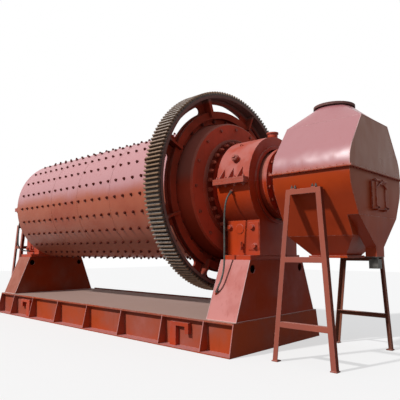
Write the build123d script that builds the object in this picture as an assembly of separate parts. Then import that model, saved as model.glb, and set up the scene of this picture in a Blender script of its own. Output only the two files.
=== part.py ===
from build123d import *
import os
from math import cos, degrees, pi, radians, sin, sqrt, tan

# A grinding mill on a welded base: a drum with a girth gear turns about the X axis in two
# trunnion bearings, and a sheet-metal hood on two trestles covers the discharge end.
# Millimetres, +Z up, +X towards the discharge end, origin on the floor under the middle.

# Driving dimensions. A reach is measured along X from the gear's front face, a drop or a rise
# from the mill's axis. The base's bays and the drum's bore set the size of the whole mill.
cut = 60
seat_gap = 0.3
running_gap = 0.1

# Drum
drum_inner_r = 1200
shell_wall = 28
drum_outer_r = drum_inner_r + shell_wall
liner_wall = 50
liner_end_gap = 30
cover_plate = 50

# Drum flange that carries the gear
flange_wall = 60
flange_rise = 117
flange_outer_r = drum_outer_r + flange_rise

# Girth gear
gear_width = 350
gear_teeth = 160
gear_height = 460
gear_clearance = 335
gear_tooth_depth = 50
gear_rim_wall = 65
gear_tip_r = flange_outer_r + gear_height
gear_root_r = gear_tip_r - gear_tooth_depth
rim_inner_r = gear_root_r - gear_rim_wall
tooth_tip_share = 0.33
tooth_root_share = 0.66
gear_split_angle = 20.25
gear_web_front = 170
gear_web = 40
slot_rim_gap = 78
slot_hub_gap = 20
slot_count = 8
slot_angle = 32.5
gear_hub_lap = 15
gear_hub_ring_wall = 130
gear_hub_ring = 80
gear_hub_recess_r = flange_outer_r - gear_hub_lap
gear_hub_ring_r = gear_hub_recess_r + gear_hub_ring_wall
slot_outer_r = rim_inner_r - slot_rim_gap
slot_inner_r = gear_hub_ring_r + slot_hub_gap
gear_bore_gap = 5
gear_rib = 36
gear_rib_setback = 24

# End cover on the discharge side
cover_back_rise = 7
cover_taper = 37
cover_back_r = drum_outer_r + cover_back_rise
cover_front_r = cover_back_r - cover_taper
cover_front = 130
cover_edge = 26
cover_wall = 80

# Trunnions
journal_r = 560
trunnion_wall = 110
trunnion_bore_r = journal_r - trunnion_wall
trunnion_flange_r = 910
trunnion_flange_taper = 34
trunnion_flange = 50
trunnion_fillet = 40
neck_flange_rise = 28
neck_flange_r = journal_r + neck_flange_rise
neck_flange = 58
neck_overhang = 118
spout_side_gap = 20
spout_r = trunnion_bore_r - spout_side_gap
spout_wall = 12
spout_into_hood = 180

# Bearings
bearing_length = 650
bearing_depth = 250
bearing_r = journal_r + bearing_depth
bearing_wall = 70
bearing_end_wall = 45
bearing_end_gap = 32
bearing_end_bore_r = journal_r + bearing_end_gap
bearing_end_rise = 30
bearing_collar = 58
bearing_collar_r = bearing_end_bore_r + bearing_collar
bush_wall = 130
bush_r = journal_r + bush_wall
bush_angle = 130
discharge_bearing_reach = 665
bearing_cover_gap = 60
bearing_foot_width = 1080
bearing_drop = 1165
split_flange_rise = 120
split_flange_reach = bearing_r + split_flange_rise
split_flange = 46
split_flange_trim = 12
split_gusset = 16
split_gusset_height = 190
gusset_spread_share = 0.28
plug_boss_r = 62
plug_boss = 70
plug_boss_angle = 63
plug_boss_shift = 24
port_r = 85
port_height = 70
port_cap_r = 100
port_cap = 26
port_shift = 235

# Base frame
base_height = 480
base_web_half = 1085
base_foot_reach = 195
base_top_reach = 100
base_foot_half = base_web_half + base_foot_reach
base_top_half = base_web_half + base_top_reach
base_plate = 16
base_flange = 20
base_inner_reach = 90
base_end_bay = 590
base_feed_end_bay = 730
base_second_bay = 935
base_main_bay = 1110
base_main_bays = 4
deck_plate = 12
deck_lip = 30
deck_lip_wall = 10
deck_lip_gap = 60
hook_width = 420
hook_top_gap = 58
hook_wall = 76
hook_post = 140
hook_bar = 60
hook_lip = 80
hook_lip_drop = 170
hook_inset = 320

# Pedestals
sole_plate = 70
sole_side_inset = 40
sole_end_inset = 20
pedestal_width = 580
pedestal_feed_gap = 5
pedestal_discharge_gap = 15
pedestal_top_half = 755
pedestal_foot_inset = 75
pedestal_foot_half = base_top_half - pedestal_foot_inset
pedestal_plate = 20
pedestal_hole_r = 66
pedestal_hole_drop = 140
pedestal_hole_inset = 120

# Discharge hood
hood_neck_gap = 314
hood_length = 1180
hood_half_width = 880
hood_sheet = 8
hood_side_r = 600
hood_top_lean = 36.5
hood_low_lean = 29.2
hood_low_straight = 60
hood_top_rise = 770
hood_bottom_drop = 885
hood_flange_reach = 42
hood_flange = 14
reject_length = 160
hood_reject_drop = 620
hood_spout_gap = 45
neck_top_rise = 1070
neck_r = 270
top_flange_shift = 560
top_flange_r = 310
top_flange = 38
top_bolt_circle_r = 290
top_bolt_r = 7
top_bolt_count = 12
outlet_shift = 250
outlet_length = 540
outlet_half_width = 250
outlet_drop = 1165
outlet_flange = 35
outlet_flange_reach = 34
reject_half_width = 130
reject_taper_drop = 1050
reject_bottom_drop = 1180
gate_size = 130
gate_drop = 1215
gate_neck = 70

# Inspection door
door_frame = 24
door_gap = 5
hinge_knuckle_r = 19
door_width = 560
door_height = 380
door_drop = 330
door_sheet = 8
door_frame_band = 34
door_strip = 34
door_strip_wall = 14
door_strip_spread = 320
hinge_pin_r = 8
hinge_gap = 0.05
hinge_knuckle = 46
hinge_side_gap = 6
hinge_spread = 240
clamp_post = 22
clamp_post_reach = 34

# Trestles
trestle_shift = 525
trestle_side_gap = 65
trestle_top_drop = 248
trestle_top_half = 265
trestle_mill_splay_share = 0.116
trestle_outer_splay_share = 0.063
trestle_angle = 75
trestle_wall = 8
trestle_mid_z = 1400
trestle_low_z = 510
trestle_foot_side = 96
trestle_foot_plate = 14
trestle_lug_width = 60
trestle_lug_wall = 12
trestle_lug_spread = 160

# Feed chute and its stand
chute_neck_gap = 39
chute_length = 345
chute_half_width = 215
chute_bottom_drop = 290
chute_top_rise = 530
chute_sheet = 8
chute_rim = 40
chute_rim_wall = 10
chute_spout_r = 230
chute_spout = 190
stand_half_top = 545
stand_splay_share = 0.074
stand_mid_z = 1640
stand_low_z = 520
stand_angle = 75
stand_wall = 8
stand_foot_side = 130
stand_foot_plate = 14
stand_rail = 75
stand_inset = 35
stand_overhang = 100

# Oil hoses, which start at a nipple under the split flange. Points are from the hose's start.
hose_r = 15
nipple_r = 24
nipple_reach = 60
nipple_root = 30
pedestal_nipple_root = 22
foot_nipple = 150
hose_top_drop = 130
hose_start_direction = (-0.25, -0.62, -0.74)
discharge_hose_points = [
    (0, 0, 0),
    (-11, -28, -33),
    (-26, -55, -85),
    (-42, -73, -161),
    (-57, -80, -270),
    (-70, -77, -430),
    (-76, -70, -630),
    (-78, -66, -870),
    (-79, -70, -1070),
    (-84, -82, -1215),
    (-94, -106, -1320),
    (-110, -132, -1398),
    (-131, -149, -1458),
    (-154, -150, -1504),
    (-176, -136, -1540),
]
feed_hose_points = [
    (0, 0, 0),
    (-11, -28, -33),
    (-26, -55, -85),
    (-42, -73, -161),
    (-57, -80, -270),
    (-70, -77, -430),
    (-74, -76, -600),
    (-66, -76, -715),
    (-48, -68, -790),
    (-26, -44, -845),
    (-4, -2, -882),
    (16, 52, -900),
    (32, 112, -906),
    (44, 170, -908),
]
hose_section = pi * hose_r**2
hose_bend_share = 0.45

# Places that follow from the sizes above
axis_height = base_height + gear_clearance + gear_tip_r
base_discharge_reach = discharge_bearing_reach + pedestal_width / 2 + pedestal_discharge_gap
base_length = base_end_bay + base_second_bay * 2 + base_main_bay * base_main_bays + base_feed_end_bay
base_feed_reach = base_length - base_discharge_reach
feed_bearing_reach = base_feed_reach - pedestal_width / 2 - pedestal_feed_gap
feed_flange_reach = feed_bearing_reach - bearing_length / 2 - bearing_cover_gap
feed_rim_reach = feed_flange_reach - trunnion_flange - cover_plate
neck_reach = bearing_length / 2 + neck_overhang + neck_flange
chute_end_reach = feed_bearing_reach + neck_reach + chute_neck_gap
chute_start_reach = chute_end_reach + chute_length
stand_inner_reach = chute_end_reach + stand_inset
feed_reach = chute_start_reach + stand_overhang
hood_start_reach = discharge_bearing_reach + neck_reach + hood_neck_gap
hood_reach = hood_start_reach + hood_length
discharge_reach = hood_reach + door_frame + door_gap + hinge_knuckle_r * 2
gear_x = (feed_reach - discharge_reach) / 2
feed_rim_x = gear_x - feed_rim_reach
web_back_x = gear_x - gear_web_front - gear_web
web_front_x = gear_x - gear_web_front
split_z = axis_height
trunnion_flange_face_r = trunnion_flange_r - trunnion_flange_taper
trunnion_fillet_r = journal_r + trunnion_fillet
discharge_bearing_x = gear_x + discharge_bearing_reach
feed_bearing_x = gear_x - feed_bearing_reach
discharge_bearing_end = discharge_bearing_x + bearing_length / 2
feed_bearing_end = feed_bearing_x - bearing_length / 2
feed_neck_end = feed_bearing_end - neck_overhang
discharge_neck_end = discharge_bearing_end + neck_overhang
sole_top_z = axis_height - bearing_drop
pedestal_top_z = sole_top_z - sole_plate
pedestal_slope = (pedestal_foot_half - pedestal_top_half) / (pedestal_top_z - base_height)
base_discharge_x = gear_x + base_discharge_reach
base_feed_x = gear_x - base_feed_reach
main_start = base_discharge_x - base_end_bay - base_second_bay
main_end = main_start - base_main_bays * base_main_bay
base_x_stations = [base_discharge_x - base_end_bay]
base_x_stations += [main_start - i * base_main_bay for i in range(base_main_bays + 1)]
base_x_stations += [main_end - base_second_bay]
hood_start = gear_x + hood_start_reach
hood_end = gear_x + hood_reach
hood_top_z = axis_height + hood_top_rise
hood_bottom_z = axis_height - hood_bottom_drop
hood_reject_start = hood_end - reject_length
hood_reject_z = axis_height - hood_reject_drop
neck_top_z = axis_height + neck_top_rise
top_flange_x = hood_start + top_flange_shift
outlet_start = hood_start + outlet_shift
outlet_end = outlet_start + outlet_length
outlet_z = axis_height - outlet_drop
reject_taper_z = axis_height - reject_taper_drop
reject_bottom_z = axis_height - reject_bottom_drop
gate_top_z = axis_height - gate_drop
door_z = axis_height - door_drop
door_top_z = door_z + door_height / 2
door_face_x = hood_end + door_frame
hinge_x = door_face_x + door_gap + hinge_knuckle_r
hinge_z = door_top_z + hinge_knuckle_r + door_gap
trestle_x = hood_start + trestle_shift
trestle_y = hood_half_width + trestle_side_gap
trestle_top_z = axis_height - trestle_top_drop
chute_start = gear_x - chute_start_reach
chute_end = gear_x - chute_end_reach
chute_bottom_z = axis_height - chute_bottom_drop
chute_top_z = axis_height + chute_top_rise
stand_end = gear_x - feed_reach + (stand_foot_side - stand_angle) / 2
stand_start = gear_x - stand_inner_reach
hose_top_z = axis_height - hose_top_drop

parts = {}


def add(name, shape):
    parts[name] = shape


def block(x0, x1, y0, y1, z0, z1):
    middle = Pos((x0 + x1) / 2, (y0 + y1) / 2, (z0 + z1) / 2)
    return middle * Box(x1 - x0, y1 - y0, z1 - z0)


def disc_x(x0, x1, r, z=axis_height, y=0):
    align = (Align.CENTER, Align.CENTER, Align.MIN)
    return Pos(x0, y, z) * Rot(0, 90, 0) * Cylinder(r, x1 - x0, align=align)


def disc_y(x, y0, y1, z, r):
    align = (Align.CENTER, Align.CENTER, Align.MIN)
    return Pos(x, y1, z) * Rot(90, 0, 0) * Cylinder(r, y1 - y0, align=align)


def ring_x(x0, x1, r_out, r_in):
    return disc_x(x0, x1, r_out) - disc_x(x0 - cut, x1 + cut, r_in)


def prism_x(points, x0, x1):
    outline = Polyline(*[(x0, y, z) for y, z in points], close=True)
    return extrude(make_face(outline), amount=x1 - x0, dir=(1, 0, 0))


def turned(points):
    outline = Polyline(*[(x, 0, axis_height + r) for x, r in points], close=True)
    return revolve(make_face(outline), axis=Axis((0, 0, axis_height), (1, 0, 0)))


def polar(x, r, angle):
    # Angles run from the top towards the -Y side.
    return (x, -r * sin(radians(angle)), axis_height + r * cos(radians(angle)))


def sector_x(x0, x1, r_in, r_out, a0, a1):
    middle = (a0 + a1) / 2
    outer = ThreePointArc(polar(x0, r_out, a0), polar(x0, r_out, middle), polar(x0, r_out, a1))
    inner = ThreePointArc(polar(x0, r_in, a0), polar(x0, r_in, middle), polar(x0, r_in, a1))
    sides = [Line(polar(x0, r_in, a0), polar(x0, r_out, a0))]
    sides += [Line(polar(x0, r_in, a1), polar(x0, r_out, a1))]
    return extrude(make_face([outer, inner] + sides), amount=x1 - x0, dir=(1, 0, 0))


def radial_plate(x0, x1, r0, r1, angle, wall, side=0):
    # A flat plate that stands on the radius at this angle; side -1 or 1 puts it to one side.
    plate = block(x0, x1, -wall / 2 + side * wall / 2, wall / 2 + side * wall / 2,
                  axis_height + r0, axis_height + r1)
    return plate.rotate(Axis((0, 0, axis_height), (1, 0, 0)), angle)


def angle_bar(start, end, leg, wall, flip_x=1, flip_y=1):
    # An angle iron whose corner line runs from start to end, with its legs along X and Y.
    x, y = start[0], start[1]
    corners = [(0, 0), (leg, 0), (leg, wall), (wall, wall), (wall, leg), (0, leg)]
    lower = [(x + flip_x * u, y + flip_y * v, start[2]) for u, v in corners]
    upper = [(end[0] + flip_x * u, end[1] + flip_y * v, end[2]) for u, v in corners]
    bottom = make_face(Polyline(*lower, close=True))
    top = make_face(Polyline(*upper, close=True))
    return loft([bottom, top], ruled=True)


# Drum body

def drum_shell():
    return ring_x(feed_rim_x, web_back_x, drum_outer_r, drum_inner_r)


def drum_flange():
    return ring_x(web_back_x - flange_wall, web_back_x, flange_outer_r, drum_outer_r + seat_gap)


def drum_liner():
    x0 = feed_rim_x + liner_end_gap
    x1 = web_back_x - liner_end_gap
    outer_r = drum_inner_r - seat_gap
    return ring_x(x0, x1, outer_r, outer_r - liner_wall)


def feed_end_cover():
    x0 = feed_rim_x - cover_plate
    return turned([
        (x0, trunnion_bore_r), (x0, drum_outer_r - cover_edge), (x0 + cover_edge, drum_outer_r),
        (feed_rim_x, drum_outer_r), (feed_rim_x, trunnion_bore_r),
    ])


def discharge_end_cover():
    front = gear_x + cover_front
    return turned([
        (front, trunnion_bore_r), (front, cover_front_r - cover_edge),
        (front - cover_edge, cover_front_r), (web_back_x, cover_back_r),
        (web_back_x, cover_back_r - cover_wall),
        (front - cover_wall, cover_front_r - cover_wall), (front - cover_wall, trunnion_bore_r),
    ])


def toothed_ring():
    points = []
    pitch = 360 / gear_teeth
    for tooth in range(gear_teeth):
        middle = gear_split_angle + pitch * (tooth + 0.5)
        points += [
            polar(gear_x - gear_width, gear_root_r, middle - pitch * tooth_root_share / 2),
            polar(gear_x - gear_width, gear_tip_r, middle - pitch * tooth_tip_share / 2),
            polar(gear_x - gear_width, gear_tip_r, middle + pitch * tooth_tip_share / 2),
            polar(gear_x - gear_width, gear_root_r, middle + pitch * tooth_root_share / 2),
        ]
    ring = extrude(make_face(Polyline(*points, close=True)), amount=gear_width, dir=(1, 0, 0))
    return ring - disc_x(gear_x - gear_width - cut, gear_x + cut, rim_inner_r)


def web_slot(angle):
    middle_r = (slot_outer_r + slot_inner_r) / 2
    end_r = (slot_outer_r - slot_inner_r) / 2
    half = slot_angle / 2 - degrees(end_r / middle_r)
    x0, x1 = web_back_x - cut, web_front_x + cut
    slot = sector_x(x0, x1, slot_inner_r, slot_outer_r, angle - half, angle + half)
    for side in (-1, 1):
        _, y, z = polar(x0, middle_r, angle + side * half)
        slot += disc_x(x0, x1, end_r, z=z, y=y)
    return slot


def gear_half(ring, start):
    x_back = gear_x - gear_width
    reach = gear_tip_r + cut
    half_space = block(x_back - cut, gear_x + cut, -reach, reach, axis_height, axis_height + reach)
    half_space = half_space.rotate(Axis((0, 0, axis_height), (1, 0, 0)), start + 90)
    half = ring & half_space
    web = sector_x(web_back_x, web_front_x, cover_back_r + gear_bore_gap, rim_inner_r + seat_gap,
                   start, start + 180)
    pitch = 360 / slot_count
    for i in range(slot_count // 2):
        web -= web_slot(start + pitch * (i + 0.5))
    half += web
    ring_front = web_front_x + gear_hub_ring
    half += sector_x(web_front_x, ring_front, gear_hub_recess_r, gear_hub_ring_r, start, start + 180)
    rib_front = gear_x - gear_rib_setback
    rib_back = x_back + gear_rib_setback
    front_r, back_r = gear_hub_recess_r + gear_rib, flange_outer_r + gear_rib
    rib_end_r = rim_inner_r + gear_rib / 2
    ribs = [(start + pitch * i, 0) for i in range(1, slot_count // 2)]
    for angle, side in ribs + [(start, -1), (start + 180, 1)]:
        half += radial_plate(web_front_x, rib_front, front_r, rib_end_r, angle, gear_rib, side)
        half += radial_plate(rib_back, web_back_x, back_r, rib_end_r, angle, gear_rib, side)
    return half


def trunnion(face_x, outward, end_x):
    # A flanged hollow neck: face_x is where it seats on the end cover.
    s = outward
    flange_x = face_x + s * trunnion_flange
    fillet = trunnion_fillet_r - journal_r
    return turned([
        (face_x, trunnion_bore_r), (face_x, trunnion_flange_r),
        (flange_x, trunnion_flange_face_r), (flange_x, trunnion_fillet_r),
        (flange_x + s * fillet, journal_r), (end_x, journal_r), (end_x, trunnion_bore_r),
    ])


def neck_ring(x0, x1):
    return ring_x(x0, x1, neck_flange_r, trunnion_bore_r)


def discharge_spout(x0):
    # The flanged pipe that carries the ground product from the neck into the hood.
    x1 = hood_start + spout_into_hood
    pipe = ring_x(x0, x1, spout_r, spout_r - spout_wall)
    return pipe + ring_x(x0, x0 + spout_wall, trunnion_bore_r + spout_wall, spout_r - spout_wall)


# Base body

def side_beam(side):
    def y_block(x0, x1, y0, y1, z0, z1):
        low, high = sorted((side * y0, side * y1))
        return block(x0, x1, low, high, z0, z1)
    x0, x1 = base_feed_x + base_plate, base_discharge_x - base_plate
    top = base_height - deck_plate
    beam = y_block(x0, x1, base_web_half, base_web_half + base_plate, 0, top)
    beam += y_block(x0, x1, base_web_half - base_inner_reach, base_foot_half, 0, base_flange)
    beam += y_block(x0, x1, base_web_half - base_inner_reach, base_top_half, top - base_flange, top)
    for x in base_x_stations:
        profile = [
            (side * base_web_half, 0), (side * base_foot_half, 0),
            (side * base_foot_half, base_flange), (side * base_top_half, top),
            (side * base_web_half, top),
        ]
        beam += prism_x(profile, x - base_plate / 2, x + base_plate / 2)
    return beam


def base_end_plates():
    top = base_height - deck_plate
    profile = [
        (-base_foot_half, 0), (base_foot_half, 0), (base_foot_half, base_flange),
        (base_top_half, top), (-base_top_half, top), (-base_foot_half, base_flange),
    ]
    starts = (base_feed_x, base_discharge_x - base_plate)
    return Compound(children=[prism_x(profile, x0, x0 + base_plate) for x0 in starts])


def cross_beams():
    beams = []
    for x in base_x_stations:
        beams.append(block(x - base_plate / 2, x + base_plate / 2, -base_web_half, base_web_half,
                           base_flange, base_height - deck_plate - base_flange))
    return Compound(children=beams)


def deck():
    z0 = base_height - deck_plate
    sheet = block(base_feed_x, base_discharge_x, -base_top_half, base_top_half, z0, base_height)
    reach = pedestal_width / 2 + deck_lip_gap
    return sheet + block(feed_bearing_x + reach, discharge_bearing_x - reach,
                         base_top_half - deck_lip_wall, base_top_half,
                         base_height, base_height + deck_lip)


def lifting_hook(x, towards, side):
    # A plate cut as a hook: a post at x, a bar on top of it and a lip at the bar's end.
    web_y = base_web_half + base_plate
    y0, y1 = sorted((side * web_y, side * (web_y + hook_wall)))
    z0, z1 = base_flange, base_height - deck_plate - base_flange - hook_top_gap
    far = x + towards * hook_width
    post = sorted((x, x + towards * hook_post))
    bar = sorted((x, far))
    lip = sorted((far - towards * hook_lip, far))
    hook = block(post[0], post[1], y0, y1, z0, z1)
    hook += block(bar[0], bar[1], y0, y1, z1 - hook_bar, z1)
    return hook + block(lip[0], lip[1], y0, y1, z1 - hook_lip_drop, z1)


def lifting_hooks():
    hooks = []
    for side in (-1, 1):
        hooks.append(lifting_hook(main_end - hook_inset + hook_post, -1, side))
        hooks.append(lifting_hook(main_start + hook_inset - hook_post, 1, side))
    return Compound(children=hooks)


def pedestal(x_mid):
    x0, x1 = x_mid - pedestal_width / 2, x_mid + pedestal_width / 2
    t = pedestal_plate
    outer = prism_x([
        (-pedestal_foot_half, base_height), (pedestal_foot_half, base_height),
        (pedestal_top_half, pedestal_top_z), (-pedestal_top_half, pedestal_top_z),
    ], x0, x1)
    wall = t * sqrt(1 + pedestal_slope**2)
    top = pedestal_top_z - t
    half_top = pedestal_top_half + t * pedestal_slope - wall
    half_foot = pedestal_foot_half - wall
    low_half, low_z = half_foot + cut * pedestal_slope, base_height - cut
    inner = prism_x([
        (-low_half, low_z), (low_half, low_z), (half_top, top), (-half_top, top),
    ], x0 + t, x1 - t)
    box = outer - inner
    hole_z = pedestal_top_z - pedestal_hole_drop
    hole_y = pedestal_top_half - pedestal_hole_inset + pedestal_hole_drop * pedestal_slope
    for side in (-1, 1):
        box -= disc_x(x0 - cut, x1 + cut, pedestal_hole_r, z=hole_z, y=side * hole_y)
    return box


def sole_plates():
    half_length = pedestal_width / 2 - sole_end_inset
    half_width = pedestal_top_half - sole_side_inset
    soles = []
    for x in (feed_bearing_x, discharge_bearing_x):
        soles.append(block(x - half_length, x + half_length, -half_width, half_width,
                           pedestal_top_z, sole_top_z))
    return Compound(children=soles)


def split_flanges(x0, x1, z0, z1):
    plates = None
    for side in (-1, 1):
        low, high = sorted((side * (bearing_r - bearing_wall / 2), side * split_flange_reach))
        plate = block(x0 + split_flange_trim, x1 - split_flange_trim, low, high, z0, z1)
        plates = plate if plates is None else plates + plate
    return plates


def bearing_shell(x0, x1, outward, upper):
    # Half of the housing: a cylinder wall with an annular wall at each end.
    inner = disc_x(x0 + bearing_end_wall, x1 - bearing_end_wall, bearing_r - bearing_wall)
    housing = disc_x(x0, x1, bearing_r) - inner
    collar = sorted((x1, x1 + bearing_end_rise) if outward > 0 else (x0 - bearing_end_rise, x0))
    housing += disc_x(collar[0], collar[1], bearing_collar_r)
    housing -= disc_x(x0 - cut, x1 + cut, bearing_end_bore_r)
    reach = bearing_r + cut
    z0, z1 = (split_z, split_z + reach) if upper else (split_z - reach, split_z)
    return housing & block(x0 - cut, x1 + cut, -reach, reach, z0, z1)


def bearing_base(x_mid, outward):
    x0, x1 = x_mid - bearing_length / 2, x_mid + bearing_length / 2
    half = bearing_foot_width / 2
    top = split_z - sqrt(bearing_r**2 - half**2) + bearing_wall / 2
    w = bearing_wall
    foot = block(x0, x1, -half, half, sole_top_z, top)
    foot -= disc_x(x0 - cut, x1 + cut, bearing_r - w / 2)
    hollow = block(x0 + w, x1 - w, -half + w, half - w, sole_top_z - cut, top)
    foot -= hollow - disc_x(x0 - cut, x1 + cut, bearing_r)
    base = bearing_shell(x0, x1, outward, False) + foot
    return base + split_flanges(x0, x1, split_z - split_flange, split_z)


def bearing_cap(x_mid, outward):
    x0, x1 = x_mid - bearing_length / 2, x_mid + bearing_length / 2
    cap = bearing_shell(x0, x1, outward, True)
    cap += split_flanges(x0, x1, split_z, split_z + split_flange)
    for i in (-1, 0, 1):
        for side in (-1, 1):
            y0 = side * (bearing_r - bearing_wall / 2)
            y1 = side * split_flange_reach
            x = x_mid + i * bearing_length * gusset_spread_share
            z = split_z + split_flange
            cap += prism_x([(y0, z), (y1, z), (y0, z + split_gusset_height)],
                           x - split_gusset / 2, x + split_gusset / 2)
    middle = (Align.CENTER, Align.CENTER, Align.MIN)
    boss = Cylinder(plug_boss_r, bearing_r + plug_boss, align=middle)
    boss -= Cylinder(plug_boss_r + cut, bearing_r - bearing_wall / 2, align=middle)
    boss = boss.rotate(Axis((0, 0, 0), (1, 0, 0)), plug_boss_angle)
    cap += Pos(x_mid + outward * plug_boss_shift, 0, axis_height) * boss
    port_x = x_mid + outward * port_shift
    base_z = split_z + bearing_r - bearing_wall / 2
    top_z = split_z + bearing_r + port_height
    cap += Pos(port_x, 0, base_z) * Cylinder(port_r, top_z - base_z, align=middle)
    cap += Pos(port_x, 0, top_z) * Cylinder(port_cap_r, port_cap, align=middle)
    return cap


def bearing_bush(x_mid):
    half = bearing_length / 2 - bearing_end_wall
    start, end = 180 - bush_angle / 2, 180 + bush_angle / 2
    liner = sector_x(x_mid - half + seat_gap, x_mid + half - seat_gap, journal_r + running_gap,
                     bush_r, start, end)
    saddle_r = bearing_r - bearing_wall - seat_gap
    rib = half / 3
    return liner + sector_x(x_mid - rib, x_mid + rib, bush_r, saddle_r, start, end)


# Discharge hood

def hood_upper_points(inset):
    lean = radians(hood_top_lean)
    width = hood_half_width - inset
    r = hood_side_r - inset
    y1 = width - r * (1 - cos(lean))
    z1 = split_z + r * sin(lean)
    top = hood_top_z - inset
    y2 = y1 - (top - z1) * tan(lean)
    middle = (width - r * (1 - cos(lean / 2)), split_z + r * sin(lean / 2))
    return (width, split_z), middle, (y1, z1), (y2, top)


def hood_lower_points(inset, bottom):
    lean = radians(hood_low_lean)
    width = hood_half_width - inset
    r = hood_side_r - inset
    z0 = split_z - hood_low_straight
    y1 = width - r * (1 - cos(lean))
    z1 = z0 - r * sin(lean)
    y2 = y1 - (z1 - bottom) * tan(lean)
    middle = (width - r * (1 - cos(lean / 2)), z0 - r * sin(lean / 2))
    return (width, split_z), (width, z0), middle, (y1, z1), (y2, bottom)


def hood_side_y(z):
    # Half width of the lower casing where its side is a straight line or an arc.
    (_, _), (_, z0), _, (y1, z1), _ = hood_lower_points(0, hood_bottom_z)
    if z >= z0:
        return hood_half_width
    if z >= z1:
        return hood_half_width - hood_side_r + sqrt(hood_side_r**2 - (z0 - z)**2)
    return y1 - (z1 - z) * tan(radians(hood_low_lean))


def mirrored_section(x, right_lines):
    # Closes a half outline, given as lists of (y, z), with its mirror image.
    edges = []
    for side in (1, -1):
        for points in right_lines:
            places = [(x, side * y, z) for y, z in points]
            edges.append(Line(*places) if len(places) == 2 else ThreePointArc(*places))
    for y, z in (right_lines[0][0], right_lines[-1][-1]):
        edges.append(Line((x, -y, z), (x, y, z)))
    return make_face(edges)


def hood_upper_solid(x0, x1, inset):
    a, b, c, d = hood_upper_points(inset)
    return extrude(mirrored_section(x0, [(a, b, c), (c, d)]), amount=x1 - x0, dir=(1, 0, 0))


def hood_lower_solid(x0, x1, inset, bottom):
    a, b, c, d, e = hood_lower_points(inset, bottom)
    return extrude(mirrored_section(x0, [(a, b), (b, c, d), (d, e)]), amount=x1 - x0, dir=(1, 0, 0))


def hood_flange_ring(z0, z1):
    out, inside = hood_flange_reach, -hood_sheet
    z_in = (z0 - cut, z1 + cut)
    outer = block(hood_start - out, hood_end + out, -hood_half_width - out, hood_half_width + out, z0, z1)
    width = hood_half_width + inside
    return outer - block(hood_start - inside, hood_end + inside, -width, width, *z_in)


def hood_upper_casing():
    t = hood_sheet
    casing = hood_upper_solid(hood_start, hood_end, 0)
    casing -= hood_upper_solid(hood_start + t, hood_end - t, t)
    casing += hood_flange_ring(split_z, split_z + hood_flange)
    casing -= disc_x(hood_start - cut, hood_start + cut, spout_r + hood_spout_gap)
    y_top = hood_upper_points(0)[3][0] - t * 2
    z0, z1 = hood_top_z - cut, hood_top_z + cut
    return casing - block(hood_start + t * 2, hood_end - t * 2, -y_top, y_top, z0, z1)


def hood_lower_casing():
    t = hood_sheet
    casing = hood_lower_solid(hood_start, hood_end, 0, hood_bottom_z)
    casing -= hood_lower_solid(hood_start + t, hood_reject_start - t, t, hood_bottom_z)
    casing -= hood_lower_solid(hood_start + t, hood_end - t, t, hood_reject_z)
    casing -= block(hood_reject_start, hood_end + cut, -hood_half_width, hood_half_width,
                    hood_bottom_z - cut, hood_reject_z)
    casing += hood_flange_ring(split_z - hood_flange, split_z)
    casing -= disc_x(hood_start - cut, hood_start + cut, spout_r + hood_spout_gap)
    half_w, half_h = door_width / 2 - door_frame_band, door_height / 2 - door_frame_band
    return casing - block(hood_end - cut, hood_end + cut, -half_w, half_w, door_z - half_h, door_z + half_h)


def rectangle_face(x0, x1, half_width, z):
    corners = [(x0, -half_width, z), (x1, -half_width, z), (x1, half_width, z), (x0, half_width, z)]
    return make_face(Polyline(*corners, close=True))


def frustum(lower, upper):
    return loft([lower, upper], ruled=True)


def round_face(x, z, r):
    return Pos(x, 0, z) * make_face(CenterArc((0, 0, 0), r, 0, 360))


def hood_top_transition():
    t = hood_sheet
    half = hood_upper_points(0)[3][0]
    foot = rectangle_face(hood_start, hood_end, half, hood_top_z)
    inner_foot = rectangle_face(hood_start + t * 2, hood_end - t * 2, half - t * 2, hood_top_z)
    outer = frustum(foot, round_face(top_flange_x, neck_top_z, neck_r))
    return outer - frustum(inner_foot, round_face(top_flange_x, neck_top_z, neck_r - t))


def hood_top_flange():
    middle = (Align.CENTER, Align.CENTER, Align.MIN)
    place = Pos(top_flange_x, 0, neck_top_z)
    ring = place * Cylinder(top_flange_r, top_flange, align=middle)
    ring -= place * Cylinder(neck_r - hood_sheet, top_flange, align=middle)
    hole = Cylinder(top_bolt_r, top_flange, align=middle)
    return ring - [place * spot * hole for spot in PolarLocations(top_bolt_circle_r, top_bolt_count)]


def product_hopper():
    t = hood_sheet
    half = hood_lower_points(0, hood_bottom_z)[4][0]
    outer = frustum(rectangle_face(outlet_start, outlet_end, outlet_half_width, outlet_z),
                    rectangle_face(hood_start, hood_reject_start, half, hood_bottom_z))
    inner = frustum(rectangle_face(outlet_start + t, outlet_end - t, outlet_half_width - t, outlet_z),
                    rectangle_face(hood_start + t, hood_reject_start - t, half - t, hood_bottom_z))
    out = outlet_half_width + outlet_flange_reach
    flange = block(outlet_start - outlet_flange_reach, outlet_end + outlet_flange_reach, -out, out,
                   outlet_z - outlet_flange, outlet_z)
    half_hole = outlet_half_width - t
    flange -= block(outlet_start + t, outlet_end - t, -half_hole, half_hole,
                    outlet_z - outlet_flange - cut, outlet_z + cut)
    return outer - inner + flange


def reject_chute():
    t = hood_sheet
    x0, x1 = hood_reject_start, hood_end
    a, b, c, d, e = hood_lower_points(0, hood_reject_z)
    half_top, half = e[0], reject_half_width
    outer = [(half_top, hood_reject_z), (half, reject_taper_z), (half, reject_bottom_z)]
    inside_top, inside = half_top - t * 2, half - t
    inner = [(inside_top, hood_reject_z + cut), (inside_top, hood_reject_z),
             (inside, reject_taper_z + t / 2), (inside, reject_bottom_z - cut)]
    outer += [(-y, z) for y, z in reversed(outer)]
    inner += [(-y, z) for y, z in reversed(inner)]
    return prism_x(outer, x0, x1) - prism_x(inner, x0 + t, x1 - t)


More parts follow.
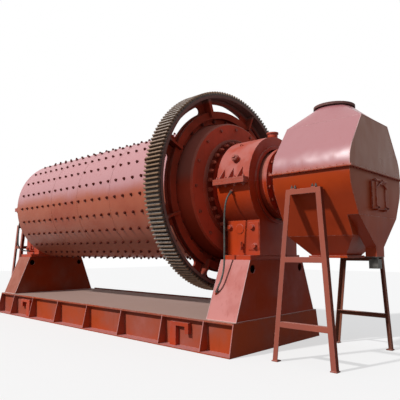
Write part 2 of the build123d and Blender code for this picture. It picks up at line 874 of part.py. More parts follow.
def reject_gate():
    x_mid = (hood_reject_start + hood_end) / 2
    half = gate_size / 2
    body = block(x_mid - half, x_mid + half, -half, half, gate_top_z - gate_size, gate_top_z)
    plate = block(hood_reject_start, hood_end, -reject_half_width, reject_half_width,
                  reject_bottom_z - hood_sheet, reject_bottom_z)
    neck = gate_neck / 2
    body += plate + block(x_mid - neck, x_mid + neck, -neck, neck, gate_top_z, reject_bottom_z - hood_sheet)
    hollow = neck - hood_sheet
    return body - block(x_mid - hollow, x_mid + hollow, -hollow, hollow,
                        gate_top_z - gate_size - cut, reject_bottom_z + cut)


# Inspection door on the end wall of the hood, hung from two pins along its top edge

def door_frame_ring():
    half_w, half_h = door_width / 2, door_height / 2
    band = door_frame_band
    frame = block(hood_end, door_face_x, -half_w, half_w, door_z - half_h, door_z + half_h)
    frame -= block(hood_end - cut, door_face_x + cut, -half_w + band, half_w - band,
                   door_z - half_h + band, door_z + half_h - band)
    for side in (-1, 1):
        y = side * hinge_spread / 2
        for shift in (-1, 1):
            y0 = y + shift * (hinge_knuckle + hinge_side_gap) - hinge_knuckle / 2
            y1 = y0 + hinge_knuckle
            ear = disc_y(hinge_x, y0, y1, hinge_z, hinge_knuckle_r)
            half_arm = hinge_knuckle_r / 2
            ear += block(hood_end, hinge_x, y0, y1, hinge_z - half_arm, hinge_z + half_arm)
            ear -= disc_y(hinge_x, y0 - cut, y1 + cut, hinge_z, hinge_pin_r)
            frame += ear
    for side in (-1, 1):
        y = side * door_strip_spread / 2
        z = door_z - half_h
        frame += block(hood_end, door_face_x + clamp_post_reach, y - clamp_post / 2, y + clamp_post / 2,
                       z - clamp_post, z)
    return frame


def hinge_pins():
    pins = []
    for side in (-1, 1):
        y = side * hinge_spread / 2
        half = hinge_knuckle * 3 / 2 + hinge_side_gap
        pins.append(disc_y(hinge_x, y - half, y + half, hinge_z, hinge_pin_r))
    return Compound(children=pins)


def inspection_door():
    x0 = door_face_x + door_gap
    x1 = x0 + door_sheet
    half_w, half_h = door_width / 2, door_height / 2
    door = block(x0, x1, -half_w, half_w, door_z - half_h, door_z + half_h)
    for side in (-1, 1):
        y = side * door_strip_spread / 2
        strip = block(x1, x1 + door_strip_wall, y - door_strip / 2, y + door_strip / 2,
                      door_z - half_h + door_strip, door_z + half_h)
        door += strip
        y = side * hinge_spread / 2
        y0, y1 = y - hinge_knuckle / 2, y + hinge_knuckle / 2
        knuckle = disc_y(hinge_x, y0, y1, hinge_z, hinge_knuckle_r)
        knuckle += block(x0, hinge_x, y0, y1, door_top_z - door_strip, hinge_z)
        knuckle -= disc_y(hinge_x, y0 - cut, y1 + cut, hinge_z, hinge_pin_r + hinge_gap)
        door += knuckle
    return door


# Trestles under the hood

def bent(half_top, top_z, bar_heights, splay, leg, wall, foot, foot_plate):
    # Two splayed angle-iron legs and level bars, in the plane y = 0 with the flanges towards +Y.
    # The pair splay leans the leg at -X and the leg at +X outward.
    def spread(z, end):
        return half_top + (top_z - z) * splay[0 if end < 0 else 1]
    reach = half_top - wall / 2
    frame = block(-reach, reach, 0, wall, top_z - leg, top_z)
    frame += block(-reach, reach, 0, leg, top_z - wall, top_z)
    for z in bar_heights:
        low, high = wall - spread(z, -1), spread(z, 1) - wall
        frame += block(low, high, 0, wall, z - leg / 2, z + leg / 2)
        shelf = z + leg / 2 - wall
        frame += block(low + wall, high - wall, 0, leg, shelf, shelf + wall)
    for end in (-1, 1):
        bottom = (end * spread(foot_plate, end), 0, foot_plate)
        head = (end * half_top, 0, top_z)
        frame += angle_bar(bottom, head, leg, wall, flip_x=-end)
        foot_x = end * (spread(0, end) - leg / 2)
        frame += block(foot_x - foot / 2, foot_x + foot / 2, (leg - foot) / 2, (leg + foot) / 2,
                       0, foot_plate)
    return frame


def trestle(side):
    # The leg towards the mill leans out further; the far trestle is the same one turned about.
    splay = (trestle_mill_splay_share, trestle_outer_splay_share)
    frame = bent(trestle_top_half, trestle_top_z, (trestle_low_z, trestle_mid_z), splay[::-side],
                 trestle_angle, trestle_wall, trestle_foot_side, trestle_foot_plate)
    # The legs' flat faces look outward and their flanges point in under the hood.
    turn = 180 if side > 0 else 0
    frame = Pos(trestle_x, side * trestle_y, 0) * Rot(0, 0, turn) * frame
    # Lugs on the top bar reach in to the hood's side.
    side_y = hood_side_y(trestle_top_z + trestle_lug_wall) + seat_gap
    for end in (-1, 1):
        x = trestle_x + end * trestle_lug_spread
        y0, y1 = sorted((side * side_y, side * trestle_y))
        half = trestle_lug_width / 2
        frame += block(x - half, x + half, y0, y1, trestle_top_z, trestle_top_z + trestle_lug_wall)
    return frame


# Feed chute and stand

def feed_chute():
    t, half = chute_sheet, chute_half_width
    box = block(chute_start, chute_end, -half, half, chute_bottom_z, chute_top_z)
    box -= block(chute_start + t, chute_end - t, -half + t, half - t, chute_bottom_z + t, chute_top_z + cut)
    rim = block(chute_start - chute_rim, chute_end, -half - chute_rim, half + chute_rim,
                chute_top_z - chute_rim_wall, chute_top_z)
    rim -= block(chute_start + t, chute_end - t, -half + t, half - t, chute_bottom_z, chute_top_z + cut)
    # A short pipe leads from the chute's wall into the open feed neck.
    spout_end = chute_end + chute_spout
    box += rim + disc_x(chute_end - t, spout_end, chute_spout_r)
    return box - disc_x(chute_end - cut, spout_end + cut, chute_spout_r - t)


def stand_bent(x, turn):
    splay = (stand_splay_share, stand_splay_share)
    frame = bent(stand_half_top, chute_bottom_z - stand_rail, (stand_low_z, stand_mid_z), splay,
                 stand_angle, stand_wall, stand_foot_side, stand_foot_plate)
    return Pos(x, 0, 0) * Rot(0, 0, turn) * frame


def stand_rails():
    # Two cross bars carry the chute, and two level bars tie the bents at each lower bar.
    rails = []
    z0, z1 = chute_bottom_z - stand_rail, chute_bottom_z
    y_out = stand_half_top
    for y in (-chute_half_width, chute_half_width):
        y0, y1 = y - stand_rail / 2, y + stand_rail / 2
        rails.append(block(stand_end, stand_start, y0, y1, z0, z1))
    for z in (stand_low_z, stand_mid_z):
        half = stand_half_top + (z0 - z) * stand_splay_share - stand_wall - seat_gap
        for side in (-1, 1):
            y0, y1 = sorted((side * (half - stand_wall), side * half))
            x0, x1 = stand_end + stand_angle + seat_gap, stand_start - stand_angle - seat_gap
            rails.append(block(x0, x1, y0, y1, z - stand_angle / 2, z + stand_angle / 2))
    return Compound(children=rails)


# Oil hoses and their nipples

def hose_route(x_mid, points):
    out = Vector(*hose_start_direction).normalized() * nipple_reach
    root_y = -sqrt(bearing_r**2 - (hose_top_z - split_z)**2)
    start = Vector(x_mid, root_y, hose_top_z) + out
    return [start + Vector(*point) for point in points]


def nipple(end, towards, length):
    # A round nipple that meets a hose face to face at its end and runs back into its carrier.
    middle = (Align.CENTER, Align.CENTER, Align.MIN)
    return Plane(end, z_dir=towards) * Cylinder(nipple_r, length, align=middle)


def top_nipple(route):
    return nipple(route[0], route[0] - route[1], nipple_reach + nipple_root)


def bottom_nipple(route, length):
    return nipple(route[-1], route[-1] - route[-2], length)


def reach_to_pedestal(route):
    # How far the route's last run goes on before it meets the pedestal's sloping front.
    end, run = route[-1], (route[-1] - route[-2]).normalized()
    face_y = -pedestal_top_half - (pedestal_top_z - end.Z) * pedestal_slope
    return max((face_y - end.Y) / (run.Y - run.Z * pedestal_slope), nipple_r)


def hose(name, route):
    radii = []
    for a, b, c in zip(route, route[1:], route[2:]):
        first, second = b - a, c - b
        turn = radians(first.get_angle(second))
        radii.append(hose_bend_share * min(first.length, second.length) / tan(turn / 2))
    print(name, "bend radii", [round(r) for r in radii])
    path = FilletPolyline(*route, radius=radii)
    start = Plane(route[0], z_dir=route[1] - route[0])
    tube = sweep(start * Circle(hose_r), path=path)
    print(name, "volume share", round(tube.volume / (hose_section * path.length), 4))
    return tube


def build():
    add("drum_shell", drum_shell())
    add("drum_flange", drum_flange())
    add("drum_liner", drum_liner())
    add("feed_end_cover", feed_end_cover())
    add("discharge_end_cover", discharge_end_cover())
    ring = toothed_ring()
    add("girth_gear_front_half", gear_half(ring, gear_split_angle))
    add("girth_gear_back_half", gear_half(ring, gear_split_angle + 180))
    add("feed_trunnion", trunnion(feed_rim_x - cover_plate, -1, feed_neck_end))
    add("discharge_trunnion", trunnion(gear_x + cover_front, 1, discharge_neck_end))
    add("feed_neck_flange", neck_ring(feed_neck_end - neck_flange, feed_neck_end))
    add("discharge_neck_flange", neck_ring(discharge_neck_end, discharge_neck_end + neck_flange))
    add("discharge_spout", discharge_spout(discharge_neck_end + neck_flange))

    add("base_side_beam_front", side_beam(-1))
    add("base_side_beam_back", side_beam(1))
    add("base_end_plates", base_end_plates())
    add("base_cross_beams", cross_beams())
    add("deck_plate", deck())
    add("base_lifting_hooks", lifting_hooks())
    feed_route = hose_route(feed_bearing_x, feed_hose_points)
    discharge_route = hose_route(discharge_bearing_x, discharge_hose_points)
    add("feed_pedestal", pedestal(feed_bearing_x))
    discharge_length = reach_to_pedestal(discharge_route) + pedestal_nipple_root
    discharge_end = bottom_nipple(discharge_route, discharge_length)
    add("discharge_pedestal", pedestal(discharge_bearing_x) + discharge_end)
    add("bearing_sole_plates", sole_plates())
    feed_base = bearing_base(feed_bearing_x, -1) + top_nipple(feed_route)
    add("feed_bearing_base", feed_base + bottom_nipple(feed_route, foot_nipple))
    add("discharge_bearing_base", bearing_base(discharge_bearing_x, 1) + top_nipple(discharge_route))
    for end, x_mid, outward in (("feed", feed_bearing_x, -1), ("discharge", discharge_bearing_x, 1)):
        add(f"{end}_bearing_cap", bearing_cap(x_mid, outward))
        add(f"{end}_bearing_bush", bearing_bush(x_mid))

    add("hood_lower_casing", hood_lower_casing())
    add("hood_upper_casing", hood_upper_casing())
    add("hood_top_transition", hood_top_transition())
    add("hood_top_flange", hood_top_flange())
    add("product_hopper", product_hopper())
    add("reject_chute", reject_chute())
    add("reject_gate", reject_gate())
    add("front_trestle", trestle(-1))
    add("rear_trestle", trestle(1))
    add("door_frame", door_frame_ring())
    add("door_hinge_pins", hinge_pins())
    add("inspection_door", inspection_door())

    add("feed_chute", feed_chute())
    add("feed_stand_outer_bent", stand_bent(stand_end, -90))
    add("feed_stand_inner_bent", stand_bent(stand_start, 90))
    add("feed_stand_rails", stand_rails())
    add("feed_hose", hose("feed_hose", feed_route))
    add("discharge_hose", hose("discharge_hose", discharge_route))


build()
os.makedirs("parts", exist_ok=True)
for name, shape in parts.items():
    export_step(shape, f"parts/{name}.step")
    print(name, round(shape.volume / 1e6, 3), "litres")
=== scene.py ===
import math
import random

import bmesh
import bpy
from mathutils import Matrix, Vector


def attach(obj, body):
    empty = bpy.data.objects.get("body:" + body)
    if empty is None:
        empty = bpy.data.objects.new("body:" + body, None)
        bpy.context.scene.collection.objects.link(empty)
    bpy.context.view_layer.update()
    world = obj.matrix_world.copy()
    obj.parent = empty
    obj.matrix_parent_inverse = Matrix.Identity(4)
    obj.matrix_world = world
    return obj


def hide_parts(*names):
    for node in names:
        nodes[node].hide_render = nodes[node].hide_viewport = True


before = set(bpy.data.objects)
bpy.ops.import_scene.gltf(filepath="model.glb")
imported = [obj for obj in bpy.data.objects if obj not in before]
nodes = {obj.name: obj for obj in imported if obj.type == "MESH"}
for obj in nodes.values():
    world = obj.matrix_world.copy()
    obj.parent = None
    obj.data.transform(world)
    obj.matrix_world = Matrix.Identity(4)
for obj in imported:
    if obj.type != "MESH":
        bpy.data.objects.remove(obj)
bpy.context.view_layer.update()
print("frame loaded,", len(nodes), "nodes")

# Places that many pieces share, in metres
mm = 0.001
mill = {
    "axisHeight": 2.62,  # the drum's centre line above the floor
    "gearFace": 2.3115,  # the girth gear's front face
    "bearings": {"feed": (-4.0535, -1), "discharge": (2.9765, 1)},  # place along the mill, outward side
}
axisPoint = Vector((0, 0, mill["axisHeight"]))


def linear(hexText):  # sRGB hex to the linear colour that a shader wants
    parts = [int(hexText[i:i + 2], 16) / 255 for i in (0, 2, 4)]
    return tuple(c / 12.92 if c <= 0.04045 else ((c + 0.055) / 1.055) ** 2.4 for c in parts) + (1.0,)


def addNode(tree, kind, values, output=0):  # values: settings, constants and links; the chosen output comes back
    node = tree.nodes.new(kind)
    for key, value in values.items():
        if isinstance(value, bpy.types.NodeSocket):
            tree.links.new(value, node.inputs[key])
        elif isinstance(key, str) and key in node.bl_rna.properties:
            setattr(node, key, value)
        else:
            node.inputs[key].default_value = value
    return node.outputs[output] if node.outputs else node


def newMaterial(name):
    material = bpy.data.materials.new(name)
    material.use_nodes = True
    tree = material.node_tree
    tree.nodes.clear()
    return material, tree


# Settings that many nodes share. A blend's sockets: 0 the factor, 6 and 7 the colours, output 2.
smooth = {"interpolation_type": "SMOOTHSTEP"}
blend = {"data_type": "RGBA"}
times = {"operation": "MULTIPLY"}


def fromAxis(tree, where):  # how far each point is from the mill's axis
    shifted = addNode(tree, "ShaderNodeVectorMath", {"operation": "SUBTRACT", 0: where, 1: axisPoint})
    flat = addNode(tree, "ShaderNodeVectorMath", {"operation": "MULTIPLY", 0: shifted, 1: (0, 1, 1)})
    return addNode(tree, "ShaderNodeVectorMath", {"operation": "LENGTH", 0: flat}, "Value")


# Red-oxide alkyd enamel, sprayed on rolled plate: glossy, slightly uneven, with faint run marks. Faces that look up
# take a pink tint that is a painted sky reflection (on the deck, dust), faces that look down a painted shade, and the
# pale edges are partly rubbed paint and partly a painted highlight.
enamelLook = {
    "patch": 900 * mm, "patchFrom": 0.38, "patchFull": 0.66,  # overlapping spray passes
    "patchTilt": 0.3,  # how far a patch shifts the edge of the skyward tint
    "skywardFrom": -0.06, "skywardFull": 0.2,  # the painted sky reflection starts on faces just below upright
    "underFrom": -0.15, "underFull": -0.8, "underShare": 0.9,
    "overspray": 300 * mm, "sprayFrom": 0.36, "sprayFull": 0.6,
    "endFrom": 0.6, "endFull": 0.95,  # which faces look along the mill
    "streakWidth": 45 * mm, "streakSquash": 0.07, "runFrom": 0.56, "runFull": 0.74, "runShare": 0.22,
    "wallFrom": 0.9, "wallFull": 0.3,  # run marks keep to upright faces
    "edgeRadius": 9 * mm, "edgeWearHighlightColour": "D6A79C", "edgeFrom": 0.985, "edgeFull": 0.86,
    "rubSize": 45 * mm, "rubFrom": 0.38, "rubFull": 0.6,
    "roughFrom": 0.3, "roughFull": 0.7, "roughSpread": 0.12,
    "plateWave": 420 * mm, "waveStrength": 0.5, "waveDepth": 30 * mm,  # the slow buckle of thin rolled sheet
    "peelSize": 14 * mm, "peelStrength": 0.12, "peelDepth": 2 * mm,  # orange peel is 2 mm, drawn coarser to show
}


def enamel(name, fresh, deep, skyReflectionAndDust, under, gloss=0.42, skywardShare=0.95, wave=1.0, edge=0.6,
           sheen=0.2, broken=0.0, endFaceLight=None, ringGrimeAndShade=None, bare=None):
    material, tree = newMaterial(name)
    look = enamelLook
    where = addNode(tree, "ShaderNodeTexCoord", {}, "Object")
    facing = addNode(tree, "ShaderNodeNewGeometry", {}, "Normal")
    turned = addNode(tree, "ShaderNodeSeparateXYZ", {"Vector": facing}).node.outputs
    height = addNode(tree, "ShaderNodeSeparateXYZ", {"Vector": where}, "Z")

    patches = addNode(tree, "ShaderNodeTexNoise", {
        "Vector": where, "Scale": 1 / look["patch"], "Detail": 5.0, "Roughness": 0.6}, "Fac")
    passes = addNode(tree, "ShaderNodeMapRange", {
        **smooth, "Value": patches, "From Min": look["patchFrom"], "From Max": look["patchFull"]})
    colour = addNode(tree, "ShaderNodeMix", {**blend, 0: passes, 6: linear(fresh), 7: linear(deep)}, 2)

    # Faces that look up take the skyward colour: a painted sky reflection (on the deck, its dust).
    offMiddle = addNode(tree, "ShaderNodeMath", {"operation": "SUBTRACT", 0: patches, 1: 0.5})
    tilt = addNode(tree, "ShaderNodeMath", {**times, 0: offMiddle, 1: look["patchTilt"]})
    slope = addNode(tree, "ShaderNodeMath", {"operation": "ADD", 0: turned["Z"], 1: tilt})
    skyward = addNode(tree, "ShaderNodeMapRange", {
        **smooth, "Value": slope, "From Min": look["skywardFrom"], "From Max": look["skywardFull"]})
    if broken:  # newer overspray keeps patches of the skyward side red, without the painted sky reflection
        spray = addNode(tree, "ShaderNodeTexNoise", {
            "Vector": where, "Scale": 1 / look["overspray"], "Detail": 3.0}, "Fac")
        kept = addNode(tree, "ShaderNodeMapRange", {
            **smooth, "Value": spray, "From Min": look["sprayFrom"], "From Max": look["sprayFull"],
            "To Min": 1 - broken, "To Max": 1.0})
        skyward = addNode(tree, "ShaderNodeMath", {**times, 0: skyward, 1: kept})
    skywardAmount = addNode(tree, "ShaderNodeMath", {**times, 0: skyward, 1: skywardShare})
    colour = addNode(tree, "ShaderNodeMix", {**blend, 0: skywardAmount, 6: colour, 7: linear(skyReflectionAndDust)}, 2)
    # Faces that look down take the under colour: painted shade and ground bounce.
    below = addNode(tree, "ShaderNodeMapRange", {
        **smooth, "Value": slope, "From Min": look["underFrom"], "From Max": look["underFull"],
        "To Min": 0.0, "To Max": look["underShare"]})
    colour = addNode(tree, "ShaderNodeMix", {**blend, 0: below, 6: colour, 7: linear(under)}, 2)

    if endFaceLight:  # a tint on the faces that look along the mill, thinner low down: painted shade and reflection
        endwise = addNode(tree, "ShaderNodeMapRange", {
            **smooth, "Value": turned["X"], "From Min": look["endFrom"], "From Max": look["endFull"]})
        endTintByHeight = addNode(tree, "ShaderNodeMapRange", {
            **smooth, "Value": height, "From Min": endFaceLight["between"][0], "From Max": endFaceLight["between"][1],
            "To Min": endFaceLight["low"] * endFaceLight["share"], "To Max": endFaceLight["share"]})
        endFaceTint = addNode(tree, "ShaderNodeMath", {**times, 0: endwise, 1: endTintByHeight})
        colour = addNode(tree, "ShaderNodeMix", {**blend, 0: endFaceTint, 6: colour, 7: linear(endFaceLight["colour"])}, 2)
    if ringGrimeAndShade:  # a ring round the mill's axis, only above a height if one is given: dust on the castings, grease on the gear, painted shade on the end covers
        radius = fromAxis(tree, where)
        inner = addNode(tree, "ShaderNodeMapRange", {
            **smooth, "Value": radius, "From Min": ringGrimeAndShade["between"][0], "From Max": ringGrimeAndShade["between"][1]})
        outer = addNode(tree, "ShaderNodeMapRange", {
            **smooth, "Value": radius, "From Min": ringGrimeAndShade["between"][2], "From Max": ringGrimeAndShade["between"][3],
            "To Min": ringGrimeAndShade["share"], "To Max": 0.0})
        ring = addNode(tree, "ShaderNodeMath", {**times, 0: inner, 1: outer})
        if "above" in ringGrimeAndShade:
            high = addNode(tree, "ShaderNodeMapRange", {
                **smooth, "Value": height, "From Min": ringGrimeAndShade["above"][0], "From Max": ringGrimeAndShade["above"][1]})
            ring = addNode(tree, "ShaderNodeMath", {**times, 0: ring, 1: high})
        colour = addNode(tree, "ShaderNodeMix", {**blend, 0: ring, 6: colour, 7: linear(ringGrimeAndShade["colour"])}, 2)

    stretched = addNode(tree, "ShaderNodeMapping", {"Vector": where, "Scale": (1, 1, look["streakSquash"])})
    streaks = addNode(tree, "ShaderNodeTexNoise", {
        "Vector": stretched, "Scale": 1 / look["streakWidth"], "Detail": 3.0}, "Fac")
    tilted = addNode(tree, "ShaderNodeMath", {"operation": "ABSOLUTE", 0: turned["Z"]})
    walls = addNode(tree, "ShaderNodeMapRange", {
        **smooth, "Value": tilted, "From Min": look["wallFrom"], "From Max": look["wallFull"]})
    marks = addNode(tree, "ShaderNodeMapRange", {
        **smooth, "Value": streaks, "From Min": look["runFrom"], "From Max": look["runFull"],
        "To Min": 0.0, "To Max": look["runShare"]})
    runs = addNode(tree, "ShaderNodeMath", {**times, 0: marks, 1: walls})
    colour = addNode(tree, "ShaderNodeMix", {**blend, 0: runs, 6: colour, 7: linear(deep)}, 2)

    # Pale edges: partly rubbed paint, partly a painted highlight along the rounded edges.
    rounded = addNode(tree, "ShaderNodeBevel", {"samples": 4, "Radius": look["edgeRadius"]})
    bent = addNode(tree, "ShaderNodeVectorMath", {"operation": "DOT_PRODUCT", 0: rounded, 1: facing}, "Value")
    nearEdge = addNode(tree, "ShaderNodeMapRange", {
        **smooth, "Value": bent, "From Min": look["edgeFrom"], "From Max": look["edgeFull"]})
    rub = addNode(tree, "ShaderNodeTexNoise", {
        "Vector": where, "Scale": 1 / look["rubSize"], "Detail": 4.0}, "Fac")
    rubbed = addNode(tree, "ShaderNodeMapRange", {
        **smooth, "Value": rub, "From Min": look["rubFrom"], "From Max": look["rubFull"], "To Max": edge})
    edgeWearAndHighlight = addNode(tree, "ShaderNodeMath", {**times, 0: nearEdge, 1: rubbed})
    colour = addNode(tree, "ShaderNodeMix", {**blend, 0: edgeWearAndHighlight, 6: colour, 7: linear(look["edgeWearHighlightColour"])}, 2)

    rough = addNode(tree, "ShaderNodeMapRange", {
        **smooth, "Value": patches, "From Min": look["roughFrom"], "From Max": look["roughFull"],
        "To Min": gloss, "To Max": gloss + look["roughSpread"]})
    wavy = addNode(tree, "ShaderNodeTexNoise", {
        "Vector": where, "Scale": 1 / look["plateWave"], "Detail": 1.5}, "Fac")
    peel = addNode(tree, "ShaderNodeTexNoise", {
        "Vector": where, "Scale": 1 / look["peelSize"], "Detail": 2.0}, "Fac")
    buckle = addNode(tree, "ShaderNodeBump", {
        "Height": wavy, "Normal": rounded, "Strength": look["waveStrength"] * wave, "Distance": look["waveDepth"]})
    normal = addNode(tree, "ShaderNodeBump", {
        "Height": peel, "Normal": buckle, "Strength": look["peelStrength"], "Distance": look["peelDepth"]})

    coat = {"Base Color": colour, "Roughness": rough, "Normal": normal, "IOR": 1.5}
    surface = addNode(tree, "ShaderNodeBsdfPrincipled", {**coat, "Specular IOR Level": sheen})
    if endFaceLight:  # on the end faces the tint comes with a lower sheen, which dims their white reflection
        dull = addNode(tree, "ShaderNodeBsdfPrincipled", {**coat, "Specular IOR Level": endFaceLight["sheen"]})
        surface = addNode(tree, "ShaderNodeMixShader", {0: endwise, 1: surface, 2: dull})
    if bare:  # metal that the paint leaves bare
        surface = bare(tree, where, turned["Z"], surface)
    addNode(tree, "ShaderNodeOutputMaterial", {"Surface": surface})
    return material


# Cut steel teeth, as hobbed and wiped with old open-gear grease: dull brown-grey flanks, nearly black in the roots,
# bare and paler along the tips; tips that face up are greyer, a painted sky reflection. The rest of each casting is
# painted.
toothLook = {
    "bandRadius": 1.737, "bandBlur": 2 * mm, "rootRadius": 1.757, "tipRadius": 1.805,
    "root": "2B1A12", "tip": "86684E", "skyReflectionTip": "A09A94", "skyReflectionFrom": 0.2, "skyReflectionFull": 0.8,
    "grease": "64534A", "smearSize": 60 * mm, "smearFrom": 0.45, "smearFull": 0.7, "smearShare": 0.65,
    "roughFrom": 0.3, "roughFull": 0.7, "rough": (0.5, 0.68), "metallic": 0.3,
}


def toothSteel(tree, where, up, painted):
    look = toothLook
    radius = fromAxis(tree, where)
    smear = addNode(tree, "ShaderNodeTexNoise", {
        "Vector": where, "Scale": 1 / look["smearSize"], "Detail": 4.0}, "Fac")
    # Tips that face up turn grey: a painted sky reflection.
    skyward = addNode(tree, "ShaderNodeMapRange", {
        **smooth, "Value": up, "From Min": look["skyReflectionFrom"], "From Max": look["skyReflectionFull"]})
    tip = addNode(tree, "ShaderNodeMix", {
        **blend, 0: skyward, 6: linear(look["tip"]), 7: linear(look["skyReflectionTip"])}, 2)
    outward = addNode(tree, "ShaderNodeMapRange", {
        **smooth, "Value": radius, "From Min": look["rootRadius"], "From Max": look["tipRadius"]})
    colour = addNode(tree, "ShaderNodeMix", {**blend, 0: outward, 6: linear(look["root"]), 7: tip}, 2)
    greased = addNode(tree, "ShaderNodeMapRange", {
        **smooth, "Value": smear, "From Min": look["smearFrom"], "From Max": look["smearFull"],
        "To Min": 0.0, "To Max": look["smearShare"]})
    colour = addNode(tree, "ShaderNodeMix", {**blend, 0: greased, 6: colour, 7: linear(look["grease"])}, 2)
    rough = addNode(tree, "ShaderNodeMapRange", {
        **smooth, "Value": smear, "From Min": look["roughFrom"], "From Max": look["roughFull"],
        "To Min": look["rough"][0], "To Max": look["rough"][1]})
    steel = addNode(tree, "ShaderNodeBsdfPrincipled", {
        "Base Color": colour, "Roughness": rough, "Metallic": look["metallic"]})
    band = addNode(tree, "ShaderNodeMapRange", {
        **smooth, "Value": radius, "From Min": look["bandRadius"] - look["bandBlur"],
        "From Max": look["bandRadius"] + look["bandBlur"]})
    return addNode(tree, "ShaderNodeMixShader", {0: band, 1: painted, 2: steel})


# The colours of each coat: fresh, deep where two passes overlap, skyward (a painted sky reflection; dust on the
# deck), and under (painted shade on faces that look down).
# Drum: pink along its top, a painted sky reflection, and half dull there.
drumEnamel = enamel("redOxideEnamelDrum", "AE5A3E", "A24C34", "C38E90", "A25A44", gloss=0.40, sheen=0.3)
# Hood's top: still glossy, so its sheet metal shows a bright bend; its ends take a grey-brown tint, painted shade and
# reflection.
hoodTopEnamel = enamel(
    "redOxideEnamelHoodTop", "AC421C", "9E381A", "AC6C70", "8C3A28", gloss=0.25, sheen=1.0, wave=1.3, edge=0.8,
    endFaceLight={"colour": "A66C52", "share": 0.9, "between": (1.6, 2.9), "low": 0.3, "sheen": 0.12})
# Hood's lower casing, out of the sun: deep orange-red; its ends take a browner tint, painted shade and reflection.
hoodEnamel = enamel(
    "redOxideEnamelHood", "AC3E14", "9C3614", "B4766F", "B04226", gloss=0.34, sheen=0.1, edge=0.8,
    endFaceLight={"colour": "A8684E", "share": 0.8, "between": (1.6, 2.9), "low": 0.1, "sheen": 0.04})
# Bearing castings: newer orange overspray, with dust on the split flange and on the vent.
castEnamel = enamel(
    "redOxideEnamelCastings", "BC4018", "A63410", "BD7066", "7C2A18", gloss=0.32, sheen=0.14, wave=0.4, broken=0.6,
    ringGrimeAndShade={"colour": "A66C62", "share": 0.42, "between": (0.82, 0.87, 2.0, 2.1), "above": (2.45, 2.5)})
# End covers: even red, with a dark ring round the neck where the nuts sit, painted shade of that recess.
coverEnamel = enamel(
    "redOxideEnamelCovers", "CE523A", "AC3A20", "A66254", "7A2A18", gloss=0.42, wave=0.5, sheen=0.06,
    ringGrimeAndShade={"colour": "38140E", "share": 0.75, "between": (0.70, 0.76, 0.86, 0.92)})
# Base: dull, trodden and rained on.
baseEnamel = enamel("redOxideEnamelBase", "AE4824", "953F1D", "C27F79", "84361F", gloss=0.5, wave=0.6, sheen=0.05)
# Discharge pedestal: its sloped front takes the pink painted sky reflection, its sides stay red.
pedestalEnamel = enamel(
    "redOxideEnamelPedestals", "A83814", "902E0E", "CF8A84", "84361F", gloss=0.42, wave=0.6, sheen=0.04,
    edge=0.9, broken=0.25)
# Feed pedestal: browner and darker, a painted shade of the drum.
feedPedestalEnamel = enamel(
    "redOxideEnamelFeedPedestal", "8C3014", "74260E", "AE7060", "6C2A18", gloss=0.5, wave=0.6, sheen=0.03,
    broken=0.25)
# Girth gear: old grease has browned its rim, and its teeth are bare.
gearSteel = enamel(
    "hobbedGearSteelAndEnamel", "A23C28", "84301E", "784A3E", "5C1D12", gloss=0.5, skywardShare=0.4, wave=0.3, edge=0.3,
    sheen=0.04, ringGrimeAndShade={"colour": "7A6660", "share": 0.85, "between": (1.60, 1.69, 1.80, 1.82)}, bare=toothSteel)
# Front trestle and feed stand: primer only, flat and rosy; the faces that look along the mill are darker, painted
# shade.
trestleEnamel = enamel(
    "redPrimerTrestles", "A95B49", "954839", "B87A6E", "7E3C2C", gloss=0.55, wave=0.2, sheen=0.06,
    endFaceLight={"colour": "6E2C1C", "share": 0.85, "between": (0.0, 0.1), "low": 1.0, "sheen": 0.04})
# Hood's top flange: weathered to a grey brown.
topFlangeEnamel = enamel("weatheredTopFlange", "6E4A44", "5A3A34", "A88480", "4A2E2A", gloss=0.55, sheen=0.1)
# Rear trestle: primer, coloured dark brown as a painted shade of the hood.
rearShadeEnamel = enamel("rearTrestlePaintedShade", "87523F", "6E3E30", "9A6A5C", "5A2E22", gloss=0.55, wave=0.2, sheen=0.06)
# Weld beads on the pedestals and the hood: pale pink, a painted highlight along the corners they follow.
seamHighlightEnamel = enamel("weldBeadsPaintedHighlight", "DCAAA0", "CC9488", "E6C0BC", "B06C5E", gloss=0.5, skywardShare=1.0)
# Deck plate: the same coat on its edges, but flat and pale on top under yard dust.
deckDust = enamel(
    "dustyDeckPlate", "AE4824", "953F1D", "AE9287", "84361F", gloss=0.72, skywardShare=1.0, wave=0.3, sheen=0.06)

# Plain finishes: two tones broken up by one noise whose size is a real grain or stain size.
plainLook = {
    "toneFrom": 0.38, "toneFull": 0.64, "roughFrom": 0.3, "roughFull": 0.7, "roughSpread": 0.15,
    "edgeRadius": 3 * mm, "bumpStrength": 0.15, "bumpDepth": 1 * mm,
}


def mottled(name, light, dark, grain, rough, metallic=0.0, sheen=0.5):
    material, tree = newMaterial(name)
    look = plainLook
    where = addNode(tree, "ShaderNodeTexCoord", {}, "Object")
    fine = addNode(tree, "ShaderNodeTexNoise", {
        "Vector": where, "Scale": 1 / grain, "Detail": 6.0, "Roughness": 0.65}, "Fac")
    tone = addNode(tree, "ShaderNodeMapRange", {
        **smooth, "Value": fine, "From Min": look["toneFrom"], "From Max": look["toneFull"]})
    colour = addNode(tree, "ShaderNodeMix", {**blend, 0: tone, 6: linear(light), 7: linear(dark)}, 2)
    roughness = addNode(tree, "ShaderNodeMapRange", {
        **smooth, "Value": fine, "From Min": look["roughFrom"], "From Max": look["roughFull"],
        "To Min": rough, "To Max": rough + look["roughSpread"]})
    rounded = addNode(tree, "ShaderNodeBevel", {"samples": 4, "Radius": look["edgeRadius"]})
    normal = addNode(tree, "ShaderNodeBump", {
        "Height": fine, "Normal": rounded, "Strength": look["bumpStrength"], "Distance": look["bumpDepth"]})
    surface = addNode(tree, "ShaderNodeBsdfPrincipled", {
        "Base Color": colour, "Roughness": roughness, "Normal": normal,
        "Metallic": metallic, "Specular IOR Level": sheen})
    addNode(tree, "ShaderNodeOutputMaterial", {"Surface": surface})
    return material


